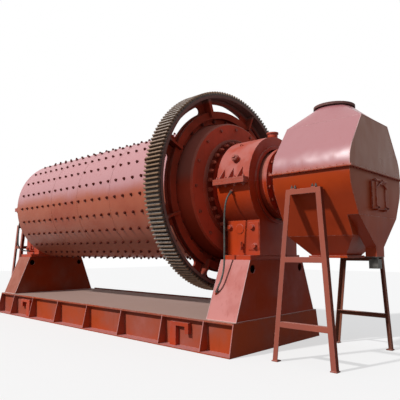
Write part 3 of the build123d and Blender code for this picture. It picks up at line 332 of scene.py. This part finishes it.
# Forged fasteners under the same spray coat: darker than the coat round them.
boltPaint = mottled("paintedForgedFasteners", "6E2C20", "4A1A14", 30 * mm, 0.5, sheen=0.15)
# Larger nuts, repainted: redder, with a slight gloss.
nutPaint = mottled("paintedHeavyNuts", "AE5440", "7A3020", 25 * mm, 0.36, sheen=0.2)
# Zinc-plated hinge pins left bare: grey with a slight sheen.
zincPlate = mottled("zincPlatedSteel", "B9B6AE", "8C8880", 20 * mm, 0.38, metallic=0.8)
# Crimped hose ends and the bolts on the trestles' lugs: bare steel, gone dull and oily.
dullSteel = mottled("dullCrimpedSteel", "6C6058", "3C322C", 18 * mm, 0.45, metallic=0.5)
# Cast manganese-steel lining, seen only through the openings: rough and dark.
liningSteel = mottled("castManganeseSteel", "5A5550", "3E3A36", 60 * mm, 0.6, metallic=0.4)
# Scraped white metal of the bushes: browned by oil, with a soft metal sheen.
whiteMetal = mottled("oiledWhiteMetal", "7A5A4C", "54382C", 15 * mm, 0.35, metallic=0.9)
# Dark grey enamel of the small gate under the hood: flat.
gateGrey = mottled("greyGateEnamel", "5E5A54", "45413C", 80 * mm, 0.5)
# Black synthetic rubber hose cover: bloomed grey with dust.
hoseRubber = mottled("syntheticRubberHose", "5C5B54", "34332F", 40 * mm, 0.42)
print("finishes made")

finishes = [
    (drumEnamel, ["drum_shell", "feed_end_cover"]),
    (coverEnamel, ["drum_flange", "discharge_end_cover", "feed_trunnion", "discharge_trunnion"]),
    (castEnamel, [
        "feed_neck_flange", "discharge_neck_flange", "discharge_spout", "feed_bearing_base", "discharge_bearing_base",
        "feed_bearing_cap", "discharge_bearing_cap", "bearing_sole_plates", "base_lifting_hooks"]),
    (hoodTopEnamel, ["hood_upper_casing", "hood_top_transition"]),
    (topFlangeEnamel, ["hood_top_flange"]),
    (hoodEnamel, [
        "hood_lower_casing", "product_hopper", "reject_chute", "door_frame", "inspection_door", "feed_chute"]),
    (baseEnamel, ["base_side_beam_front", "base_side_beam_back", "base_end_plates", "base_cross_beams"]),
    (pedestalEnamel, ["discharge_pedestal"]),
    (feedPedestalEnamel, ["feed_pedestal"]),
    (rearShadeEnamel, ["rear_trestle"]),
    (trestleEnamel, ["front_trestle", "feed_stand_outer_bent", "feed_stand_inner_bent", "feed_stand_rails"]),
    (gearSteel, ["girth_gear_front_half", "girth_gear_back_half"]),
    (deckDust, ["deck_plate"]),
    (liningSteel, ["drum_liner"]),
    (whiteMetal, ["feed_bearing_bush", "discharge_bearing_bush"]),
    (gateGrey, ["reject_gate"]),
    (zincPlate, ["door_hinge_pins"]),
    (hoseRubber, ["feed_hose", "discharge_hose"]),
]
for material, names in finishes:
    for name in names:
        nodes[name].data.materials.clear()
        nodes[name].data.materials.append(material)
print("finishes on the frame's nodes")

# Camera, lamp, sky and floor
cameraLook = {
    "place": (7.5349, -6.4328, 1.4979), "yaw": 43.1142, "pitch": 6.5428, "lens": 41.231, "sensor": 36.0,
    "farthest": 300,
}
camera = bpy.data.objects.new("camera", bpy.data.cameras.new("camera"))
camera.data.lens = cameraLook["lens"]
camera.data.sensor_width = cameraLook["sensor"]
camera.data.clip_end = cameraLook["farthest"]
camera.location = cameraLook["place"]
camera.rotation_euler = (math.radians(90 + cameraLook["pitch"]), 0, math.radians(cameraLook["yaw"]))
bpy.context.scene.collection.objects.link(camera)
bpy.context.scene.camera = camera

lampLook = {
    "sunFrom": (-0.24, -0.73, 0.64), "sunStrength": 2.9, "sunAngle": 3.0, "sky": 0.34, "skyColour": "F4F7FF",
    "floorSize": 60, "floorSeen": "F4F3F1", "floorBounce": "746E69", "floorGlow": 0.6,
}
sun = bpy.data.objects.new("sun", bpy.data.lights.new("sun", "SUN"))
sun.data.energy = lampLook["sunStrength"]
sun.data.angle = math.radians(lampLook["sunAngle"])
sun.rotation_mode = "QUATERNION"
sun.rotation_quaternion = Vector(lampLook["sunFrom"]).to_track_quat("Z", "Y")
bpy.context.scene.collection.objects.link(sun)


def whiteToViewers(tree):  # 1 for rays that see the background directly, in gloss or through glass
    ray = addNode(tree, "ShaderNodeLightPath", {}).node.outputs
    direct = addNode(tree, "ShaderNodeMath", {
        "operation": "MAXIMUM", 0: ray["Is Camera Ray"], 1: ray["Is Glossy Ray"]})
    return addNode(tree, "ShaderNodeMath", {"operation": "MAXIMUM", 0: direct, 1: ray["Is Transmission Ray"]})


world = bpy.data.worlds.new("paleSky")
bpy.context.scene.world = world
world.use_nodes = True
sky = world.node_tree
sky.nodes.clear()
skyLight = addNode(sky, "ShaderNodeBackground", {"Color": linear(lampLook["skyColour"]), "Strength": lampLook["sky"]})
skySeen = addNode(sky, "ShaderNodeBackground", {"Color": (1, 1, 1, 1), "Strength": 1.0})
skyMix = addNode(sky, "ShaderNodeMixShader", {0: whiteToViewers(sky), 1: skyLight, 2: skySeen})
addNode(sky, "ShaderNodeOutputWorld", {"Surface": skyMix})

half = lampLook["floorSize"] / 2
floorMesh = bpy.data.meshes.new("floor")
floorMesh.from_pydata([(-half, -half, 0), (half, -half, 0), (half, half, 0), (-half, half, 0)], [], [(0, 1, 2, 3)])
floor = bpy.data.objects.new("floor", floorMesh)
bpy.context.scene.collection.objects.link(floor)
floorPaint, floorTree = newMaterial("paleFloor")
floorSeen = whiteToViewers(floorTree)
floorColour = addNode(floorTree, "ShaderNodeMix", {
    **blend, 0: floorSeen, 6: linear(lampLook["floorBounce"]), 7: linear(lampLook["floorSeen"])}, 2)
floorShader = addNode(floorTree, "ShaderNodeBsdfDiffuse", {"Color": floorColour})
floorGlow = addNode(floorTree, "ShaderNodeEmission", {"Color": (1, 1, 1, 1), "Strength": 1.0})
glowShare = addNode(floorTree, "ShaderNodeMath", {**times, 0: floorSeen, 1: lampLook["floorGlow"]})
floorMix = addNode(floorTree, "ShaderNodeMixShader", {0: glowShare, 1: floorShader, 2: floorGlow})  # shadow kept
addNode(floorTree, "ShaderNodeOutputMaterial", {"Surface": floorMix})
floorMesh.materials.append(floorPaint)

bpy.context.scene.view_settings.view_transform = "Standard"
print("camera, lamp, sky and floor")


# Parts are (vertices, faces) pairs in metres, and many of them are joined into one piece.
def joined(parts):
    vertices, faces = [], []
    for partVertices, partFaces in parts:
        start = len(vertices)
        vertices += partVertices
        faces += [tuple(start + i for i in face) for face in partFaces]
    return vertices, faces


def placed(part, where):  # a part moved by a matrix
    return [tuple(where @ Vector(v)) for v in part[0]], part[1]


def aim(point, direction, spin=0.0):  # a matrix that puts local Z along direction at point
    turn = Vector(direction).to_track_quat("Z", "Y").to_matrix().to_4x4()
    return Matrix.Translation(point) @ turn @ Matrix.Rotation(spin, 4, "Z")


def polar(x, radius, degrees):  # a point round the mill's axis; angles run from the top to the front
    angle = math.radians(degrees)
    return Vector((x, -radius * math.sin(angle), mill["axisHeight"] + radius * math.cos(angle)))


def pieceOf(name, parts, material, body):
    vertices, faces = joined(parts)
    mesh = bpy.data.meshes.new(name)
    mesh.from_pydata(vertices, [], faces)
    mesh.update()
    mesh.materials.append(material)
    piece = bpy.data.objects.new(name, mesh)
    bpy.context.scene.collection.objects.link(piece)
    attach(piece, body)
    return piece


def turnedPart(profile, sides, unit=1.0):  # a closed solid of revolution round Z from (radius, height) rings
    vertices, faces = [], []
    for radius, height in profile:
        for i in range(sides):
            angle = 2 * math.pi * i / sides
            vertices.append((radius * unit * math.cos(angle), radius * unit * math.sin(angle), height * unit))
    for ring in range(len(profile) - 1):
        for i in range(sides):
            a, b = ring * sides + i, ring * sides + (i + 1) % sides
            faces.append((a, b, b + sides, a + sides))
    faces.append(tuple(reversed(range(sides))))
    top = (len(profile) - 1) * sides
    faces.append(tuple(range(top, top + sides)))
    return vertices, faces


# Oil hoses: each route's points, in millimetres from where the hose leaves its nipple
hoseLook = {
    "diameter": 30 * mm, "rootY": -799.50, "rootZ": 2490, "fromRoot": (-15.04, -37.30, -44.52),
    "ferrule": [(19, 0), (19, 4), (17, 8), (19, 14), (19, 20), (17, 25), (19, 31), (19, 38), (16, 46)],
    "collar": [(27, -24), (29, -20), (29, -3), (26, 0)],
}
hoseTop = [(0, 0, 0), (-11, -28, -33), (-26, -55, -85), (-42, -73, -161), (-57, -80, -270), (-70, -77, -430)]
hoses = {
    "discharge": {"x": 2976.5, "length": 1.63, "points": hoseTop + [
        (-76, -70, -630), (-78, -66, -870), (-79, -70, -1070), (-84, -82, -1215), (-94, -106, -1320),
        (-110, -132, -1398), (-131, -149, -1458), (-154, -150, -1504), (-176, -136, -1540)]},
    "feed": {"x": -4053.5, "length": 1.13, "points": hoseTop + [
        (-74, -76, -600), (-66, -76, -715), (-48, -68, -790), (-26, -44, -845), (-4, -2, -882),
        (16, 52, -900), (32, 112, -906), (44, 170, -908)]},
}


def routeCurve(name, points, radius):
    curve = bpy.data.curves.new(name, "CURVE")
    curve.dimensions = "3D"
    curve.resolution_u = 10
    curve.bevel_depth = radius
    curve.bevel_resolution = 5
    spline = curve.splines.new("NURBS")
    spline.points.add(len(points) - 1)
    for knot, point in zip(spline.points, points):
        knot.co = (*point, 1)
    spline.order_u = 3
    spline.use_endpoint_u = True
    return curve


for end, hose in hoses.items():
    root = (hose["x"], hoseLook["rootY"], hoseLook["rootZ"])
    start = Vector([a + b for a, b in zip(root, hoseLook["fromRoot"])]) * mm
    points = [start + Vector(p) * mm for p in hose["points"]]
    name = end + "HoseLine"
    line = bpy.data.objects.new(name, routeCurve(name, points, hoseLook["diameter"] / 2))
    bpy.context.scene.collection.objects.link(line)
    line.data.materials.append(hoseRubber)
    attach(line, "frame")
    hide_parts(end + "_hose")
    fitting = joined([turnedPart(hoseLook["ferrule"], 14, mm), turnedPart(hoseLook["collar"], 6, mm)])
    ends = []
    for at, other in ((0, 1), (-1, -2)):
        into = (points[other] - points[at]).normalized()
        ends.append(placed(fitting, aim(points[at], into)))
    fittings = pieceOf(end + "HoseFittings", ends, dullSteel, "frame")
print("oil hoses")

# Bolts and nuts: shares of the size across flats, of the corner's radius or of the height
nutShape = {
    "sunk": 1.5 * mm,  # so that no gap shows under one on a curved plate
    "washerThick": 0.09, "washerDome": 1.3, "washerSides": 16,
    "footCorner": 0.96, "footHeight": 0.12, "chamferHeight": 0.86, "topCorner": 0.88,
    "studRadius": 0.32, "studFrom": 0.5, "studRounding": 0.3, "studEnd": 0.75, "studSides": 10,
}


def hexFastener(size):
    # A washer, a chamfered hexagon and, for a nut, the stud's rounded end.
    shape = nutShape
    corner = size["flats"] / math.sqrt(3)
    height = size["height"]
    parts = []
    low = -shape["sunk"]
    if size["washer"]:
        thick = shape["washerThick"] * size["flats"]
        rim = size["washer"] / 2
        parts.append(turnedPart([
            (rim, low), (rim, thick), (rim - thick / 2, thick * shape["washerDome"])], shape["washerSides"]))
        low = thick
    parts.append(turnedPart([
        (corner * shape["footCorner"], low), (corner, low + height * shape["footHeight"]),
        (corner, low + height * shape["chamferHeight"]), (corner * shape["topCorner"], low + height)], 6))
    if size["stud"]:
        radius = size["flats"] * shape["studRadius"]
        top = low + height + size["stud"]
        parts.append(turnedPart([
            (radius, low + height * shape["studFrom"]), (radius, top - radius * shape["studRounding"]),
            (radius * shape["studEnd"], top)], shape["studSides"]))
    return joined(parts)


def fasteners(name, spots, size, material, body, seed):
    # spots are (point, direction) pairs; each fastener is turned by chance, as spanners leave them.
    chance = random.Random(seed)
    fastener = hexFastener(size)
    parts = [placed(fastener, aim(point, direction, chance.uniform(0, math.pi / 3))) for point, direction in spots]
    return pieceOf(name, parts, material, body)


# Lining bolts: rows along the drum
liningBolts = {
    "rows": 24, "firstAngle": 47.96, "firstX": mill["gearFace"] - 5.6215, "pitch": 0.25, "count": 21,
    "radius": 1.228, "size": {"flats": 46 * mm, "height": 24 * mm, "washer": 62 * mm, "stud": 12 * mm},
}
spots = []
for row in range(liningBolts["rows"]):
    angle = liningBolts["firstAngle"] + row * 360 / liningBolts["rows"]
    for i in range(liningBolts["count"]):
        x = liningBolts["firstX"] + i * liningBolts["pitch"]
        point = polar(x, liningBolts["radius"], angle)
        spots.append((point, point - polar(x, 0, angle)))
fasteners("liningBolts", spots, liningBolts["size"], boltPaint, "drum", 11)

# Rings of bolts on the gear's hub, the end covers and the trunnions
gearFace = mill["gearFace"]
boltRings = [
    {"name": "gearHubBolts", "x": gearFace - 0.17, "side": 1, "radius": 1.285, "count": 24, "first": 14.2,
     "size": {"flats": 50 * mm, "height": 28 * mm, "washer": 66 * mm, "stud": 16 * mm}, "paint": boltPaint},
    {"name": "dischargeCoverBolts", "x": gearFace + 0.13, "side": 1, "radius": 1.09, "count": 16, "first": 2.0,
     "size": {"flats": 46 * mm, "height": 26 * mm, "washer": 60 * mm, "stud": 0}, "paint": nutPaint},
    {"name": "feedCoverBolts", "x": gearFace - 5.93, "side": -1, "radius": 1.09, "count": 16, "first": 2.0,
     "size": {"flats": 36 * mm, "height": 20 * mm, "washer": 48 * mm, "stud": 0}, "paint": nutPaint},
    {"name": "dischargeTrunnionNuts", "x": gearFace + 0.18, "side": 1, "radius": 0.82, "count": 32, "first": 5.8,
     "size": {"flats": 60 * mm, "height": 48 * mm, "washer": 80 * mm, "stud": 20 * mm}, "paint": nutPaint},
    {"name": "feedTrunnionNuts", "x": gearFace - 5.98, "side": -1, "radius": 0.82, "count": 32, "first": 5.8,
     "size": {"flats": 46 * mm, "height": 18 * mm, "washer": 0, "stud": 0}, "paint": nutPaint},
    {"name": "dischargeNeckBolts", "x": gearFace + 1.166, "side": 1, "radius": 0.53, "count": 16, "first": 11.0,
     "size": {"flats": 46 * mm, "height": 28 * mm, "washer": 60 * mm, "stud": 0}, "paint": nutPaint},
    {"name": "feedNeckBolts", "x": gearFace - 6.866, "side": -1, "radius": 0.53, "count": 16, "first": 11.0,
     "size": {"flats": 36 * mm, "height": 16 * mm, "washer": 0, "stud": 0}, "paint": nutPaint},
]
for ring in boltRings:
    spots = []
    for i in range(ring["count"]):
        angle = ring["first"] + i * 360 / ring["count"]
        spots.append((polar(ring["x"], ring["radius"], angle), (ring["side"], 0, 0)))
    fasteners(ring["name"], spots, ring["size"], ring["paint"], "drum", ring["count"])
print("bolts of the drum and its gear")


# Small plates and bars have rubbed, rounded edges, so each is a block with a bevel.
def softBlock(low, high, bevel=3 * mm):
    form = bmesh.new()
    size = [b - a for a, b in zip(low, high)]
    middle = [(a + b) / 2 for a, b in zip(low, high)]
    bmesh.ops.create_cube(form, size=1.0, matrix=Matrix.Translation(middle) @ Matrix.Diagonal((*size, 1)))
    bmesh.ops.bevel(form, geom=form.edges[:], offset=min(bevel, min(size) * 0.4), segments=2, profile=0.5,
                    affect="EDGES")
    form.verts.index_update()
    result = [tuple(v.co) for v in form.verts], [tuple(v.index for v in f.verts) for f in form.faces]
    form.free()
    return result


def weldBead(points, radius=5 * mm, ripple=14 * mm, closed=False, swelling=0.18, sides=6):
    # A tube whose thickness swells with each ripple; real ripples of 2 mm are drawn coarser.
    line = []
    for a, b in zip(points, points[1:] + (points[:1] if closed else [])):
        a, b = Vector(a), Vector(b)
        steps = max(1, int((b - a).length / (ripple / 2)))
        line += [a.lerp(b, i / steps) for i in range(steps)]
    if not closed:
        line.append(Vector(points[-1]))
    vertices, faces = [], []
    count = len(line)
    for i, point in enumerate(line):
        ahead = line[(i + 1) % count] if closed or i < count - 1 else point
        behind = line[i - 1] if closed or i > 0 else point
        turn = (ahead - behind).to_track_quat("Z", "Y")
        swell = radius * (1.0 if i % 2 else 1.0 - swelling)
        for k in range(sides):
            angle = 2 * math.pi * k / sides
            vertices.append(tuple(point + turn @ Vector((swell * math.cos(angle), swell * math.sin(angle), 0))))
    for i in range(count if closed else count - 1):
        for k in range(sides):
            a, b = i * sides, (i + 1) % count * sides
            faces.append((a + k, a + (k + 1) % sides, b + (k + 1) % sides, b + k))
    if not closed:
        faces.append(tuple(reversed(range(sides))))
        faces.append(tuple(range((count - 1) * sides, count * sides)))
    return vertices, faces


# Bearings, the same at both ends and on both sides: x runs outward from the bearing's middle.
# Profiles are (radius, height) rings in millimetres, and places on the foot are (x, z).
bearingPads = {
    "footFace": 0.54,  # the foot's face, from the mill's middle plane
    "padX": (0.105, 0.313), "padZ": (1.54, 1.98), "padThick": 12 * mm, "padSunk": 2 * mm,
    "bossAt": (-0.067, 1.879), "boss": [(80, -2), (80, 7), (76, 10)],
    "cupAt": (-0.009, 1.571), "cupProud": 44 * mm,
    "stub": [(22, -2), (22, 12), (13, 14), (13, 48)],
    "cup": [(10, -34), (18, -28), (18, 24), (13, 30), (13, 62), (21, 66), (21, 92), (14, 100)],
    "plugX": 0.024, "plugRadius": 0.88, "plugAngle": 63,
    "plug": [(50, -2), (50, 8), (46, 11)], "plugHead": [(33, 10), (34, 14), (34, 30), (30, 34)],
    "eyeX": -0.046, "eyeRadius": 0.806, "eyeAngle": 37.5,  # a bent bar with its two feet on the cap
    "eyeHalf": 28 * mm, "eyeRise": 34 * mm, "eyeBar": 8 * mm, "eyeSteps": 12,
}
footBolts = {
    "at": [(-0.266, 1.91, 0.0), (0.195, 1.901, 12 * mm), (0.239, 1.60, 12 * mm)],  # x, z, proud of the foot
    "size": {"flats": 70 * mm, "height": 38 * mm, "washer": 98 * mm, "stud": 0},
}
splitBolts = {
    "x": (-0.265, -0.091, 0.091, 0.265), "y": 0.872, "z": (2.574, 2.666),
    "size": {"flats": 41 * mm, "height": 24 * mm, "washer": 56 * mm, "stud": 14 * mm},
}


def footPoint(end, side, along, z, proud=0.0):  # a point on the foot's face
    middle, outward = mill["bearings"][end]
    return Vector((middle + outward * along, side * (bearingPads["footFace"] + proud), z))


def eyeBar(seat, out):
    pads = bearingPads
    line = []
    for i in range(pads["eyeSteps"] + 1):
        angle = math.pi * i / pads["eyeSteps"]
        across = Vector((pads["eyeHalf"] * math.cos(angle), 0, 0))
        line.append(seat + across + out * (pads["eyeRise"] * math.sin(angle)))
    return weldBead(line, radius=pads["eyeBar"], ripple=40 * mm)


for end, (middle, outward) in mill["bearings"].items():
    pads = bearingPads
    plates, studs, spots = [], [], []
    for side in (-1, 1):
        face = (0, side, 0)
        edges = sorted(middle + outward * v for v in pads["padX"])
        reach = sorted(side * (pads["footFace"] + v) for v in (-pads["padSunk"], pads["padThick"]))
        plates.append(softBlock((edges[0], reach[0], pads["padZ"][0]), (edges[1], reach[1], pads["padZ"][1])))
        plates.append(placed(turnedPart(pads["boss"], 40, mm), aim(footPoint(end, side, *pads["bossAt"]), face)))
        plates.append(placed(turnedPart(pads["stub"], 12, mm), aim(footPoint(end, side, *pads["cupAt"]), face)))
        cupPoint = footPoint(end, side, *pads["cupAt"], pads["cupProud"])
        plates.append(placed(turnedPart(pads["cup"], 14, mm), aim(cupPoint, (0, 0, 1))))
        studs += [(footPoint(end, side, *at), face) for at in footBolts["at"]]
        for shift in splitBolts["x"]:
            for z, way in zip(splitBolts["z"], (-1, 1)):
                spots.append((Vector((middle + shift, side * splitBolts["y"], z)), (0, 0, way)))
    seat = polar(middle + outward * pads["plugX"], pads["plugRadius"], pads["plugAngle"])
    plug = joined([turnedPart(pads["plug"], 24, mm), turnedPart(pads["plugHead"], 6, mm)])
    plates.append(placed(plug, aim(seat, seat - polar(seat.x, 0, 0))))
    seat = polar(middle + outward * pads["eyeX"], pads["eyeRadius"], pads["eyeAngle"])
    plates.append(eyeBar(seat, (seat - polar(seat.x, 0, 0)).normalized()))
    pieceOf(end + "BearingPads", plates, castEnamel, "frame")
    fasteners(end + "BearingFootBolts", studs, footBolts["size"], castEnamel, "frame", 31)
    fasteners(end + "BearingSplitBolts", spots, splitBolts["size"], castEnamel, "frame", 32)
print("bearing pads and bolts")

# Pedestals: the folded plates are welded along their corners and round the foot
pedestalSeams = {"halfLength": 0.29, "foot": (1.11, 0.482), "top": (0.755, 1.383), "bead": 6 * mm}
footY, footZ = pedestalSeams["foot"]
topY, topZ = pedestalSeams["top"]
seams = []
for middle, outward in mill["bearings"].values():
    low, high = middle - pedestalSeams["halfLength"], middle + pedestalSeams["halfLength"]
    for x in (low, high):
        for way in (-1, 1):
            corner = [(x, way * footY, footZ), (x, way * topY, topZ)]
            seams.append(weldBead(corner, radius=pedestalSeams["bead"]))
    foot = [(low, -footY, footZ), (high, -footY, footZ), (high, footY, footZ), (low, footY, footZ)]
    seams.append(weldBead(foot, radius=pedestalSeams["bead"], closed=True))
# Their pale colour is a painted highlight.
pieceOf("pedestalWeldSeams", seams, seamHighlightEnamel, "frame")
print("pedestal seams")

# Hood: bolts along the split flange, above and below it
flangeBolts = {
    "x": (3.7705, 4.9925), "y": 0.901, "z": (2.606, 2.634), "pitch": 0.094,
    "size": {"flats": 18 * mm, "height": 9 * mm, "washer": 26 * mm, "stud": 4 * mm},
}
low, high = flangeBolts["x"]
wide = flangeBolts["y"]
spots = []
for z, way in zip(flangeBolts["z"], (-1, 1)):
    count = round((high - low) / flangeBolts["pitch"])
    for i in range(count + 1):
        x = low + (high - low) * i / count
        spots += [(Vector((x, side * wide, z)), (0, 0, way)) for side in (-1, 1)]
    count = round(2 * wide / flangeBolts["pitch"])
    for i in range(1, count):
        y = -wide + 2 * wide * i / count
        spots += [(Vector((x, y, z)), (0, 0, way)) for x in (low, high)]
fasteners("hoodFlangeBolts", spots, flangeBolts["size"], nutPaint, "frame", 41)

# Two bolts on each lug of the trestles
lugBolts = {
    "x": (4.1565, 4.4765), "fromMiddle": 26 * mm, "y": 0.912, "z": 2.384,
    "size": {"flats": 32 * mm, "height": 24 * mm, "washer": 50 * mm, "stud": 16 * mm},
}
spots = [(Vector((x + way * lugBolts["fromMiddle"], side * lugBolts["y"], lugBolts["z"])), (0, 0, 1))
         for x in lugBolts["x"] for way in (-1, 1) for side in (-1, 1)]
fasteners("trestleLugBolts", spots, lugBolts["size"], dullSteel, "frame", 42)

# Weld seams of the hood: up the edges of its end walls, then across under the top
hoodSeams = {
    "x": (3.7915, 4.9715), "roof": (0.457, 3.392),
    "wall": [(0.88, 2.64), (0.862, 2.766), (0.842, 2.83), (0.799, 2.921), (0.757, 2.972), (0.457, 3.39)],
}
seams = []
for side in (-1, 1):
    for x in hoodSeams["x"]:
        seams.append(weldBead([(x, side * y, z) for y, z in hoodSeams["wall"]]))
roofY, roofZ = hoodSeams["roof"]
for x in hoodSeams["x"]:
    seams.append(weldBead([(x, -roofY, roofZ), (x, roofY, roofZ)]))
# Their pale colour is a painted highlight.
pieceOf("hoodWeldSeams", seams, seamHighlightEnamel, "frame")
print("hood bolts and seams")

# Inspection door: arms up to a lug at the top, and a clamp on a bracket at the foot of each strip
doorArms = {
    "face": 5.0225, "skin": 5.008, "stripY": 0.16,
    "armTop": 2.482, "armFoot": 2.405, "armWide": 26 * mm, "armThick": 9 * mm, "armSunk": 1 * mm,
    "clampX": 5.0297, "clampThick": 7 * mm, "clampHalf": 19 * mm, "clampZ": (2.084, 2.152),
    "bracketHalf": 12 * mm, "bracketTall": 22 * mm, "bracketInto": 2 * mm,
    "lugX": 5.036, "lugHalf": 22 * mm, "lugZ": (2.452, 2.497),
}
clampNuts = {"z": 2.118, "size": {"flats": 24 * mm, "height": 13 * mm, "washer": 32 * mm, "stud": 8 * mm}}
arms, spots = [], []
door = doorArms
clampFace = door["clampX"] + door["clampThick"]
clampLow, clampHigh = door["clampZ"]
for side in (-1, 1):
    y = side * door["stripY"]
    foot = Vector((door["face"], y, door["armFoot"]))
    along = Vector((door["face"], 0, door["armTop"])) - foot
    turn = Matrix.Translation(foot) @ along.to_track_quat("Z", "X").to_matrix().to_4x4()
    thick, half = door["armThick"] / 2, door["armWide"] / 2
    bar = softBlock((-thick, -half, -half), (thick, half, along.length + half))
    arms.append(placed(bar, Matrix.Translation((thick - door["armSunk"], 0, 0)) @ turn))
    arms.append(softBlock((door["clampX"], y - door["clampHalf"], clampLow),
                          (clampFace, y + door["clampHalf"], clampHigh)))
    arms.append(softBlock((door["skin"], y - door["bracketHalf"], clampHigh - door["bracketTall"]),
                          (door["clampX"] + door["bracketInto"], y + door["bracketHalf"], clampHigh)))
    spots.append((Vector((clampFace, y, clampNuts["z"])), (1, 0, 0)))
arms.append(softBlock((door["skin"], -door["lugHalf"], door["lugZ"][0]),
                      (door["lugX"], door["lugHalf"], door["lugZ"][1])))
pieceOf("doorArms", arms, hoodEnamel, "door")
fasteners("doorClampNuts", spots, clampNuts["size"], boltPaint, "door", 43)
print("door arms and clamps")

# Drum seams: rolled plates are joined by rings of weld, and one seam runs along each course
drumSeams = {
    "radius": 1.2285, "ends": (-3.55, 1.95), "rings": (-1.95, -0.89, 0.25),
    "longAngles": (220.4, 280.4, 235.4, 295.4), "ringStep": 3,
    "bead": {"radius": 3.5 * mm, "ripple": 60 * mm, "swelling": 0.04},
}
seams = []
for x in drumSeams["rings"]:
    ring = [polar(x, drumSeams["radius"], angle) for angle in range(0, 360, drumSeams["ringStep"])]
    seams.append(weldBead(ring, closed=True, **drumSeams["bead"]))
edges = [drumSeams["ends"][0], *drumSeams["rings"], drumSeams["ends"][1]]
for a, b, angle in zip(edges, edges[1:], drumSeams["longAngles"]):
    course = [polar(a, drumSeams["radius"], angle), polar(b, drumSeams["radius"], angle)]
    seams.append(weldBead(course, **drumSeams["bead"]))
pieceOf("drumWeldSeams", seams, drumEnamel, "drum")
print("drum seams")
